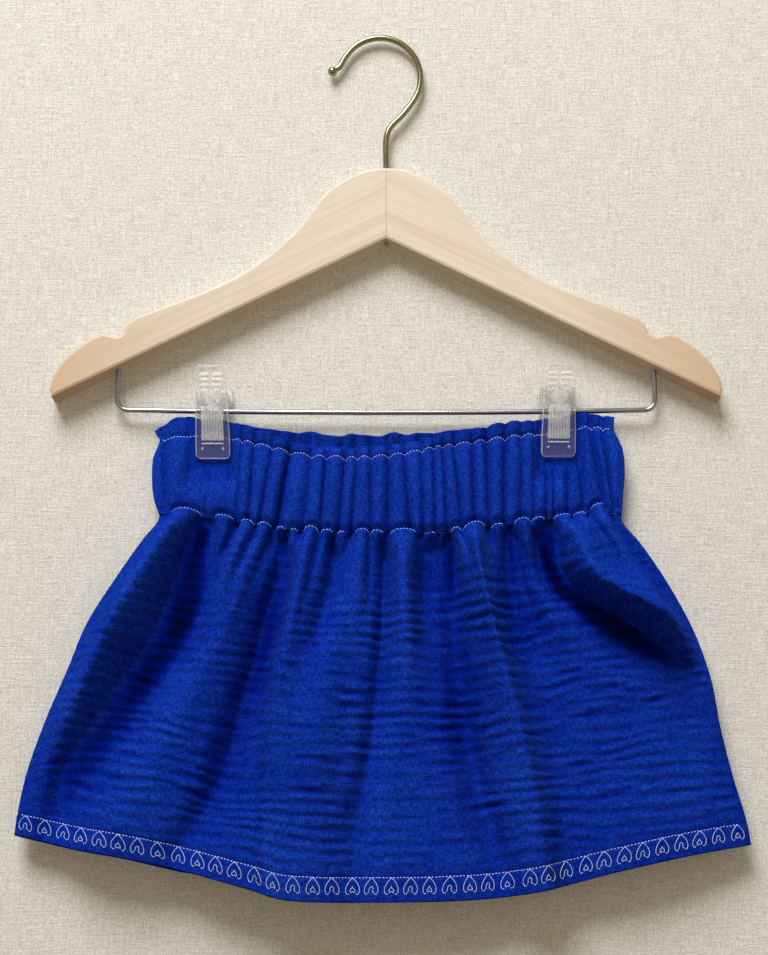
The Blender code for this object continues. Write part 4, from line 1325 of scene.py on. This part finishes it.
def hook_path():
    """The hook's wire from its foot in the hanger to its tip, as points and radii."""
    wire = HOOK_WIRE / 2
    centre_z = wire - HOOK_HALF_HEIGHT
    turns = np.radians(np.arange(*HOOK_ARC_TURNS))
    arc = np.stack((HOOK_HALF_WIDTH * np.cos(turns), centre_z + HOOK_HALF_HEIGHT * np.sin(turns)), axis=-1)
    path = curve_through(np.concatenate((HOOK_STEM, arc, HOOK_FLARE)), HOOK_STEPS)
    radii = np.full(len(path), wire)
    heading = path[-1] - path[-2]
    heading /= np.linalg.norm(heading)
    ball = HOOK_TIP_BALL / 2
    shares = np.linspace(*BALL_SHARES)
    along = math.sqrt(ball**2 - wire**2) + shares * ball
    path = np.concatenate((path, path[-1] + heading * along[:, None]))
    radii = np.concatenate((radii, ball * np.sqrt(1 - shares**2)))
    return np.stack((path[:, 0], np.zeros(len(path)), path[:, 1]), axis=-1), radii


def bar_height(x):
    flat_half = BAR_HALF_SPAN - BAR_BEND
    return BAR_END_Z - BAR_SAG * (1 - ((x - HANGER_X) / flat_half) ** 2)


def bar_path():
    """The bar from its left end in the wood, down and across to its right end."""
    flat_half = BAR_HALF_SPAN - BAR_BEND
    turns = np.radians(np.arange(*BAR_BEND_TURNS))
    bend = np.stack(
        (-flat_half - BAR_BEND * np.cos(turns), BAR_END_Z + BAR_BEND - BAR_BEND * np.sin(turns)), axis=-1
    )
    level_x = np.linspace(-flat_half, flat_half, BAR_LEVEL_STEPS)[1:-1]
    level = np.stack((level_x, bar_height(level_x + HANGER_X)), axis=-1)
    rise = np.linspace(BAR_INSERT_TOP_Z, BAR_END_Z + BAR_BEND, BAR_RISE_STEPS)[:-1]
    down = np.stack((np.full(len(rise), -BAR_HALF_SPAN), rise), axis=-1)
    left = np.concatenate((down, bend))
    path = np.concatenate((left, level, left[::-1] * (-1, 1)))
    return np.stack((path[:, 0] + HANGER_X, np.zeros(len(path)), path[:, 1]), axis=-1)


def add(tree, kind, inputs=None, **settings):
    """A shader node whose inputs are given as values or as other nodes' outputs."""
    node = tree.nodes.new("ShaderNode" + kind)
    for name, value in settings.items():
        setattr(node, name, value)
    for socket, value in (inputs or {}).items():
        if isinstance(value, bpy.types.NodeSocket):
            tree.links.new(value, node.inputs[socket])
        else:
            node.inputs[socket].default_value = value
    return node


def mixed(tree, share, first, second):
    """The colour between two colours."""
    ends = [(*colour, 1.0) if isinstance(colour, tuple) else colour for colour in (first, second)]
    return add(tree, "Mix", {0: share, 6: ends[0], 7: ends[1]}, data_type="RGBA").outputs[2]


def reckon(tree, operation, first, second=0.0):
    return add(tree, "Math", {0: first, 1: second}, operation=operation).outputs[0]


def noise(tree, place, scale, detail, **more):
    """Soft noise, from 0 to 1, over a place."""
    return add(tree, "TexNoise", {"Vector": place, "Scale": scale, "Detail": detail, **more}).outputs["Fac"]


def ramp(tree, value, low, high, first=0.0, last=1.0):
    """A value led from one span to another, and held at its ends."""
    spans = {"From Min": low, "From Max": high, "To Min": first, "To Max": last}
    return add(tree, "MapRange", {"Value": value, **spans}).outputs[0]


def parts(tree, place):
    return add(tree, "SeparateXYZ", {0: place}).outputs


def place_at(tree, **axes):
    return add(tree, "CombineXYZ", axes).outputs[0]


def own_place(tree):
    """The place on a piece, in metres."""
    return add(tree, "TexCoord").outputs["Object"]


def lead(tree, sockets, outputs):
    """Joins each output to the socket of its name."""
    for name, output in outputs.items():
        tree.links.new(output, sockets[name])


def mottle(tree, into, first, second, scale, detail):
    """Colours a material with soft patches of two colours, and gives the place on the piece."""
    place = own_place(tree)
    lead(tree, into, {"Base Color": mixed(tree, noise(tree, place, scale, detail), first, second)})
    return place


def new_group(name, inputs, outputs):
    """An empty shader group with named inputs, (name, socket kind, value), and outputs."""
    tree = bpy.data.node_groups.new(name, "ShaderNodeTree")
    for label, kind, value in inputs:
        socket = tree.interface.new_socket(label, in_out="INPUT", socket_type="NodeSocket" + kind)
        if value is not None:
            socket.default_value = value
    for label, kind in outputs:
        tree.interface.new_socket(label, in_out="OUTPUT", socket_type="NodeSocket" + kind)
    return tree, tree.nodes.new("NodeGroupInput").outputs, tree.nodes.new("NodeGroupOutput").inputs


def place_group(tree, group, inputs):
    return add(tree, "Group", inputs, node_tree=group).outputs


def make_weave_group():
    """Loose plain weave with uneven threads, over a place on the cloth in millimetres."""
    tree, given, result = new_group(
        "loose_weave",
        (("Place", "Vector", None), ("Thread Pitch", "Float", 1.0), ("Slub Length", "Float", 6.0)),
        (("Tone", "Float"), ("Height", "Float")),
    )
    pitch = place_at(tree, **{axis: given["Thread Pitch"] for axis in "XYZ"})
    scaled = add(tree, "VectorMath", {0: given["Place"], 1: pitch}, operation="DIVIDE")
    split = parts(tree, scaled.outputs[0])
    long_x = reckon(tree, "DIVIDE", split["X"], given["Slub Length"])
    long_y = reckon(tree, "DIVIDE", split["Y"], given["Slub Length"])
    warp = noise(tree, place_at(tree, X=split["X"], Y=long_y), scale=1.0, detail=2.0)
    weft = noise(tree, place_at(tree, X=long_x, Y=split["Y"], Z=WEFT_NOISE_AT), scale=1.0, detail=2.0)
    both = reckon(tree, "ADD", warp, weft)
    lead(tree, result, {"Tone": ramp(tree, both, low=0.72, high=1.3), "Height": both})
    return tree


def make_grain_group():
    """Long pale wood grain in an XZ plane, turned to run along a piece."""
    tree, given, result = new_group(
        "wood_grain",
        (("Turn", "Float", 0.0), ("Streak Width", "Float", 0.004)),
        (("Tone", "Float"), ("Pores", "Float")),
    )
    turned = add(
        tree, "VectorRotate", {"Vector": own_place(tree), "Angle": given["Turn"]}, rotation_type="Y_AXIS"
    )
    split = parts(tree, turned.outputs[0])
    along = reckon(tree, "MULTIPLY", split["X"], GRAIN_PACE_ALONG)
    across = reckon(tree, "DIVIDE", split["Z"], given["Streak Width"])
    deep = reckon(tree, "MULTIPLY", split["Y"], GRAIN_PACE_DEEP)
    streak_at = place_at(tree, X=along, Y=deep, Z=across)
    broad = noise(tree, streak_at, scale=1.0, detail=4.0, Distortion=0.4)
    fine_at = add(tree, "VectorMath", {0: streak_at, 1: PORE_PACE}, operation="MULTIPLY").outputs[0]
    pores = ramp(tree, noise(tree, fine_at, scale=1.0, detail=2.0), low=0.56, high=0.72)
    lead(tree, result, {"Tone": ramp(tree, broad, low=0.3, high=0.7), "Pores": pores})
    return tree


def make_wire_group():
    """Handling marks and fine drawing lines on wire."""
    tree, given, result = new_group(
        "drawn_wire",
        (("Low Roughness", "Float", 0.2), ("High Roughness", "Float", 0.4)),
        (("Tone", "Float"), ("Roughness", "Float"), ("Height", "Float")),
    )
    place = own_place(tree)
    smears = noise(tree, place, scale=90.0, detail=4.0, Roughness=0.6)
    rough = ramp(
        tree, smears, low=0.35, high=0.65, first=given["Low Roughness"], last=given["High Roughness"]
    )
    lines = noise(tree, place, scale=1400.0, detail=1.0)
    lead(tree, result, {"Tone": smears, "Roughness": rough, "Height": lines})
    return tree


def new_material(name, settings):
    """A material whose Principled shader is set, with its tree and the shader's inputs."""
    made = bpy.data.materials.new(name)
    made.use_nodes = True
    tree = made.node_tree
    shader = tree.nodes["Principled BSDF"]
    for socket, value in settings.items():
        shader.inputs[socket].default_value = (*value, 1.0) if isinstance(value, tuple) else value
    return made, tree, shader.inputs


def bump(tree, height, strength, distance):
    return add(tree, "Bump", {"Height": height, "Strength": strength, "Distance": distance}).outputs[0]


def make_gauze(weave):
    made, tree, into = new_material(
        "blue_gauze",
        {
            "Roughness": 0.92,
            "Specular IOR Level": 0.0,
            "Sheen Weight": 0.05,
            "Sheen Roughness": 0.4,
            "Sheen Tint": GAUZE_SHEEN,
        },
    )
    place = add(tree, "Attribute", attribute_name="cloth_at_and_shade").outputs["Vector"]
    threads = place_group(tree, weave, {"Place": place, "Thread Pitch": 0.62, "Slub Length": 5.0})
    fuzz = noise(tree, place, scale=0.8, detail=5.0, Roughness=0.75)
    tone = ramp(tree, reckon(tree, "MULTIPLY", threads["Tone"], fuzz), low=0.1, high=0.42)
    cloud = noise(tree, place, scale=0.11, detail=3.0, Roughness=0.6)
    # The third value of the place is the cloth's painted light and shade
    light = parts(tree, place)["Z"]
    height = reckon(tree, "ADD", light, reckon(tree, "MULTIPLY", cloud, GAUZE_CLOUD))
    low = mixed(tree, tone, *GAUZE_LOW)
    high = mixed(tree, tone, *GAUZE_HIGH)
    colour = mixed(tree, ramp(tree, height, low=0.4, high=1.4), low, high)
    # Painted shade in the deepest hollows
    colour = mixed(tree, ramp(tree, light, low=0.1, high=-0.8), colour, GAUZE_PAINTED_SHADE)
    raised = bump(tree, threads["Height"], strength=0.4, distance=0.0002)
    lead(tree, into, {"Base Color": colour, "Normal": raised})
    return made


def make_thread():
    made, tree, into = new_material(
        "white_thread", {"Roughness": 0.55, "Sheen Weight": 0.3, "Specular IOR Level": 0.35}
    )
    place = mottle(tree, into, *WHITE_THREAD, scale=260.0, detail=2.0)
    waves = {"Vector": place, "Scale": 900.0, "Distortion": 1.0}
    twist = add(tree, "TexWave", waves, bands_direction="DIAGONAL").outputs["Fac"]
    lead(tree, into, {"Normal": bump(tree, twist, strength=0.5, distance=0.00008)})
    return made


def make_wood(name, grain, turn):
    made, tree, into = new_material(name, {"Roughness": 0.5, "Specular IOR Level": 0.35, "Coat Weight": 0.05})
    wood = place_group(tree, grain, {"Turn": turn, "Streak Width": 0.0032})
    colour = mixed(tree, wood["Tone"], *PALE_WOOD)
    colour = mixed(tree, wood["Pores"], colour, WOOD_PORES)
    along = parts(tree, own_place(tree))["X"]
    off = reckon(tree, "ABSOLUTE", reckon(tree, "SUBTRACT", along, HANGER_X * MM))
    colour = mixed(tree, ramp(tree, off, low=0.09, high=0.17), colour, WOOD_ENDS)
    rough = ramp(tree, wood["Tone"], low=0.0, high=1.0, first=0.42, last=0.58)
    pores = bump(tree, wood["Pores"], strength=0.12, distance=0.0001)
    lead(tree, into, {"Base Color": colour, "Roughness": rough, "Normal": pores})
    return made


def make_glue():
    """The dried glue in the hanger's mitre."""
    made, tree, into = new_material("mitre_glue", {"Roughness": 0.6})
    mottle(tree, into, *GLUE, scale=300.0, detail=2.0)
    return made


def make_metal(name, wire_marks, bright, dull):
    made, tree, into = new_material(name, {"Metallic": 1.0})
    marks = place_group(tree, wire_marks, {"Low Roughness": 0.16, "High Roughness": 0.28})
    colour = mixed(tree, marks["Tone"], bright, dull)
    lines = bump(tree, marks["Height"], strength=0.12, distance=0.00004)
    lead(tree, into, {"Base Color": colour, "Roughness": marks["Roughness"], "Normal": lines})
    return made


def make_plastic(name, colour, clearness, low, high):
    """Moulded plastic whose scuffs lie between two roughnesses."""
    made, tree, into = new_material(
        name, {"Base Color": colour, "IOR": 1.36, "Transmission Weight": clearness, "Specular IOR Level": 0.3}
    )
    scuffs = noise(tree, own_place(tree), scale=420.0, detail=3.0, Roughness=0.7)
    rough = ramp(tree, scuffs, low=0.35, high=0.7, first=low, last=high)
    lead(tree, into, {"Roughness": rough, "Normal": bump(tree, scuffs, strength=0.06, distance=0.0001)})
    return made


def see_through(tree, masks):
    """Makes a material clear wherever one of the masks is 1."""
    share = masks[0]
    for mask in masks[1:]:
        share = reckon(tree, "MAXIMUM", share, mask)
    shader = tree.nodes["Principled BSDF"].outputs[0]
    clear = add(tree, "BsdfTransparent").outputs[0]
    shown = add(tree, "MixShader", {0: share, 1: shader, 2: clear}).outputs[0]
    lead(tree, tree.nodes["Material Output"].inputs, {"Surface": shown})


def make_wall_linen(weave):
    """Pale plain cloth that is seen from its front alone, so it hides nothing from behind."""
    made, tree, into = new_material("pale_backdrop", {"Roughness": 0.95, "Specular IOR Level": 0.1})
    flat = parts(tree, own_place(tree))
    across = reckon(tree, "MULTIPLY", flat["X"], 1 / MM)
    down = reckon(tree, "MULTIPLY", flat["Z"], 1 / MM)
    spot = place_at(tree, X=across, Y=down)
    fine = place_group(tree, weave, {"Place": spot, "Thread Pitch": 0.5, "Slub Length": 6.0})
    slubs = place_group(tree, weave, {"Place": spot, "Thread Pitch": 1.1, "Slub Length": 12.0})
    fleck = ramp(tree, noise(tree, spot, scale=1.25, detail=2.0, Roughness=0.6), low=0.3, high=0.62)
    both = reckon(tree, "ADD", reckon(tree, "MULTIPLY", slubs["Tone"], LINEN_SLUBS), fleck)
    tone = reckon(tree, "MULTIPLY", reckon(tree, "ADD", fine["Tone"], both), LINEN_LIGHT)
    colour = mixed(tree, tone, *LINEN)
    height = reckon(tree, "ADD", fine["Height"], slubs["Height"])
    lead(tree, into, {"Base Color": colour, "Normal": bump(tree, height, strength=0.45, distance=0.0004)})
    rays = add(tree, "LightPath").outputs
    behind = add(tree, "NewGeometry").outputs["Backfacing"]
    see_through(tree, (rays["Is Shadow Ray"], rays["Is Diffuse Ray"], behind))
    return made


def make_floor_paint():
    """Plain floor that throws no light back up, so that the undersides stay dark."""
    made, tree, into = new_material("pale_floor", {"Roughness": 0.8})
    mottle(tree, into, *FLOOR_PAINT, scale=3.0, detail=3.0)
    rays = add(tree, "LightPath").outputs
    see_through(tree, (rays["Is Diffuse Ray"], rays["Is Glossy Ray"]))
    return made


def rounded_half(half, to_top, to_foot, radius):
    """Half the width of a plate near its rounded corners."""
    end = np.clip(np.minimum(to_top, to_foot), 0.0, radius)
    return half - radius + np.sqrt(radius**2 - (radius - end) ** 2)


def jaw_relief(x, above):
    """The moulded front of a clip: grip bars, the boss over the hub, upright ribs and two pips."""
    relief = np.zeros_like(x)
    for height in GRIP_BARS:
        bar = bell((above - height) / GRIP_BAR_HALF, 4)
        sides = sum(bell((x - middle) / half, 6) for middle, half in GRIP_BAR_PARTS)
        relief = relief + MOULDED_HEIGHT * bar * sides
    boss_z, boss_half_width, boss_half_height = BOSS
    narrowing = 1 - BOSS_TAPER + BOSS_TAPER * np.clip((above - boss_z) / boss_half_height, -1.0, 1.0)
    boss = 1 - (x / (boss_half_width * narrowing)) ** 2 - ((above - boss_z) / boss_half_height) ** 2
    relief = relief + MOULDED_HEIGHT * np.sqrt(np.maximum(boss, 0.0))

    low, high = RIB_RUN
    rib_run = smooth_step((above - low) / RIB_RUN_EASE) * smooth_step((high - above) / RIB_RUN_EASE)
    rib_span = smooth_step((RIB_HALF_SPAN - np.abs(x)) / RIB_SIDE_EASE)
    ribs = (0.5 + 0.5 * np.cos(2 * math.pi * x / RIB_SPACING)) ** RIB_SHARPNESS
    relief = np.maximum(relief, rib_run * rib_span * (RIB_FLOOR + RIB_RISE * ribs))
    foot_z, foot_half = RIB_FOOT
    foot = bell((above - foot_z) / foot_half, 4) * rib_span
    middle, change, spacing = RIB_FOOT_WAVE
    relief = np.maximum(relief, foot * (middle + change * np.cos(2 * math.pi * x / spacing)))

    pip_z, pip_x, pip_radius = PIPS
    for side in (-pip_x, pip_x):
        pip = 1 - ((x - side) ** 2 + (above - pip_z) ** 2) / pip_radius**2
        relief = relief + MOULDED_HEIGHT * np.sqrt(np.maximum(pip, 0.0))
    return relief


def make_jaw(name, place, facing, clear, frosted):
    """A clip's jaw as one closed plate with rounded corners, frosted on its rim and its raised parts."""
    middle, lift, lean, shift = place
    rows, columns = PLATE_GRID
    top = JAW_SECTIONS[-1][0]
    foot = JAW_SECTIONS[0][0]
    down = ((0, top), (PLATE_END_STEPS, top - PLATE_END), (1 - PLATE_END_STEPS, foot + PLATE_END), (1, foot))
    above = spaced(rows, down)[:, None]
    side = spaced(columns, PLATE_ACROSS)[None, :]
    half = read_along(JAW_SECTIONS, 3 if facing < 0 else 4, above)
    half = rounded_half(half, top - above, above - foot, PLATE_CORNER)
    x, height = np.broadcast_arrays(side * half, above)
    inner_y = read_along(JAW_SECTIONS, 1, height)
    outer_y = read_along(JAW_SECTIONS, 2, height)
    rim = np.minimum(np.minimum(half - np.abs(x), top - height), height - foot)
    inside = np.clip(rim / PLATE_ROUND_REACH, 0.0, 1.0)
    relief = jaw_relief(x, height)
    edge = PLATE_ROUND * (1 - np.sqrt(1 - (1 - inside) ** 2))
    outer_y = outer_y - edge + relief * inside
    z = bar_height(middle) + height + lift
    x = middle + x + lean * height + shift
    outer = np.stack((x, facing * outer_y, z), axis=-1)
    inner = np.stack((x, facing * (inner_y + edge / 2), z), axis=-1)[::2, ::2]
    made = closed_wall(name, outer, inner, clear)
    made.data.materials.append(frosted)
    hazy = (relief > FROST_FROM) | (rim < PLATE_RIM)
    for index in np.flatnonzero((hazy[:-1, :-1] & hazy[1:, 1:]).ravel()):
        made.data.polygons[index].material_index = 1
    return made


def make_hub(name, middle, material):
    """The sleeve that the two jaws of a clip rock on, with a collar at each end."""
    half = CLIP_HUB_LENGTH / 2
    end = ((0.0, CLIP_HUB_BORE), *HUB_PROFILE)
    profile = [(from_end - half, radius) for from_end, radius in end]
    profile += [(half - from_end, radius) for from_end, radius in end[::-1]]
    turns = np.linspace(0, 2 * math.pi, HUB_TURNS, endpoint=False)
    x, radius = (column[:, None] for column in np.array(profile).T)
    z = bar_height(middle) + radius * np.sin(turns)
    rings = np.stack(np.broadcast_arrays(middle + x, radius * np.cos(turns), z), axis=-1)
    at = np.arange(rings.shape[0] * rings.shape[1]).reshape(rings.shape[:2])
    wrapped = np.concatenate((at, at[:, :1]), axis=1)
    wrapped = np.concatenate((wrapped, wrapped[:1]), axis=0)
    return mesh_object(name, rings.reshape(-1, 3), grid_faces(wrapped), material)


def flat_sheet(name, corners, material):
    mesh = bpy.data.meshes.new(name)
    mesh.from_pydata(corners, [], [tuple(range(len(corners)))])
    mesh.materials.append(material)
    return put_in_scene(name, mesh)


def flat_box(name, low, high, material):
    corners = [(x, y, z) for x in (low[0], high[0]) for y in (low[1], high[1]) for z in (low[2], high[2])]
    faces = [(0, 1, 3, 2), (4, 6, 7, 5), (0, 4, 5, 1), (2, 3, 7, 6), (0, 2, 6, 4), (1, 5, 7, 3)]
    made = mesh_object(name, corners, faces, material)
    made.data.shade_flat()
    return made


def make_light(name, place, size, power, colour):
    light = bpy.data.lights.new(name, "AREA")
    light.shape = "DISK"
    light.size = size
    light.energy = power
    light.color = colour
    lamp = put_in_scene(name, light)
    lamp.location = place
    lamp.rotation_euler = (Vector(LIGHTS_AIM) - lamp.location).to_track_quat("-Z", "Y").to_euler()


def make_camera():
    data = bpy.data.cameras.new("photo_camera")
    data.lens = CAMERA_LENS
    data.sensor_fit = "VERTICAL"
    data.sensor_height = CAMERA_SENSOR
    data.clip_start = 0.01
    camera = put_in_scene("photo_camera", data)
    camera.location = CAMERA_PLACE
    camera.rotation_euler = (math.radians(90.0 + CAMERA_TILT), 0.0, 0.0)
    bpy.context.scene.camera = camera


def make_stage(weave):
    foot = [(x, WALL_FOOT_Y, FLOOR_Z) for x in (-WALL_HALF_WIDTH, WALL_HALF_WIDTH)]
    top = [(x, WALL_TOP_Y, WALL_TOP_Z) for x in (WALL_HALF_WIDTH, -WALL_HALF_WIDTH)]
    wall = flat_sheet("backdrop", foot + top, make_wall_linen(weave))
    floor = flat_sheet("floor", [(x, y, FLOOR_Z) for x, y in FLOOR_CORNERS], make_floor_paint())
    make_light("window_light", *WINDOW_LIGHT)
    make_light("back_fill", *BACK_LIGHT)
    world = bpy.data.worlds.new("soft_room")
    bpy.context.scene.world = world
    world.use_nodes = True
    tree = world.node_tree
    rise = parts(tree, add(tree, "TexCoord").outputs["Generated"])["Z"]
    room = mixed(tree, ramp(tree, rise, *ROOM_RISE), *ROOM)
    sky = tree.nodes["Background"].inputs
    lead(tree, sky, {"Color": mixed(tree, ramp(tree, rise, *ROOM_UNDER_RISE), ROOM_UNDER, room)})
    sky["Strength"].default_value = 1.0
    bpy.context.scene.view_settings.view_transform = "Standard"


def dress():
    weave = make_weave_group()
    gauze = make_gauze(weave)
    thread = make_thread()

    def ready(piece, slot, *nodes):
        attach(piece, "root")
        if nodes:
            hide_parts(*nodes)

    front = make_panel("panel_front_cloth", True, FRONT_PANEL_GRID, gauze)
    back = make_panel("panel_back_cloth", False, BACK_PANEL_GRID, gauze)
    front_band = make_band("waist_front_cloth", True, FRONT_BAND_GRID, gauze)
    back_band = make_band("waist_back_cloth", False, BACK_BAND_GRID, gauze)
    ready(front, "gauze", "panel_front")
    ready(back, "gauze", "panel_back")
    ready(front_band, "gauze", "waistband_front")
    ready(back_band, "gauze", "waistband_back")

    rows = {}
    for side, front_side in (("front", True), ("back", False)):
        seed = seed_of(STITCH_SEEDS, front_side)
        upper = sew_row("stitches_upper_" + side, band_points, front_side, UPPER_ROW_SHARE, thread, seed)
        lower = sew_row(
            "stitches_lower_" + side, panel_points, front_side, SEAM_ROW_SHARE, thread, seed + 1, sunk=True
        )
        rows[side] = (upper, lower)
        hem = sew_row("stitches_hem_" + side, panel_points, front_side, HEM_SHARE, thread, seed + 2)
        rows[side + " hem"] = (hem, embroider_hearts("hearts_hem_" + side, front_side, thread))
    for made in rows.values():
        for piece in made:
            ready(piece, "gauze")

    wire_marks = make_wire_group()
    brass = make_metal("brushed_brass", wire_marks, *BRASS)
    chrome = make_metal("bright_chrome", wire_marks, *CHROME)
    path, radii = hook_path()
    ready(tubes("hook_wire", [path], [radii], HOOK_SIDES, brass), "hook_metal", "hook")
    path = bar_path()
    radii = np.full(len(path), BAR_WIRE / 2)
    ready(tubes("bar_wire", [path], [radii], BAR_SIDES, chrome), "bar_metal", "clip_bar")

    grain = make_grain_group()
    slope = math.atan(ARM_UNDERSIDE_SLOPE)
    for side, turn in (("left", slope), ("right", -slope)):
        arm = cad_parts["hanger_arm_" + side]
        for slot in arm.material_slots:
            slot.material = make_wood("pale_wood_" + side, grain, turn)

    across, deep = GLUE_HALF
    foot, top = GLUE_RUN
    low, high = (HANGER_X - across, -deep, foot), (HANGER_X + across, deep, top)
    ready(flat_box("mitre_glue", low, high, make_glue()), "hanger_wood")

    clear = make_plastic("clear_plastic", *CLEAR_PLASTIC)
    frosted = make_plastic("frosted_plastic", *FROSTED_PLASTIC)
    for name, middle, lift, lean, behind in CLIPS:
        for side, facing in (("front", -1), ("back", 1)):
            shift = behind if side == "back" else 0.0
            jaw = make_jaw(f"{name}_{side}_plate", (middle, lift, lean, shift), facing, clear, frosted)
            ready(jaw, "clip_plastic", f"{name}_{side}_jaw")
        ready(make_hub(name + "_sleeve", middle, clear), "clip_plastic", name + "_hub")

    make_stage(weave)
    make_camera()


dress()
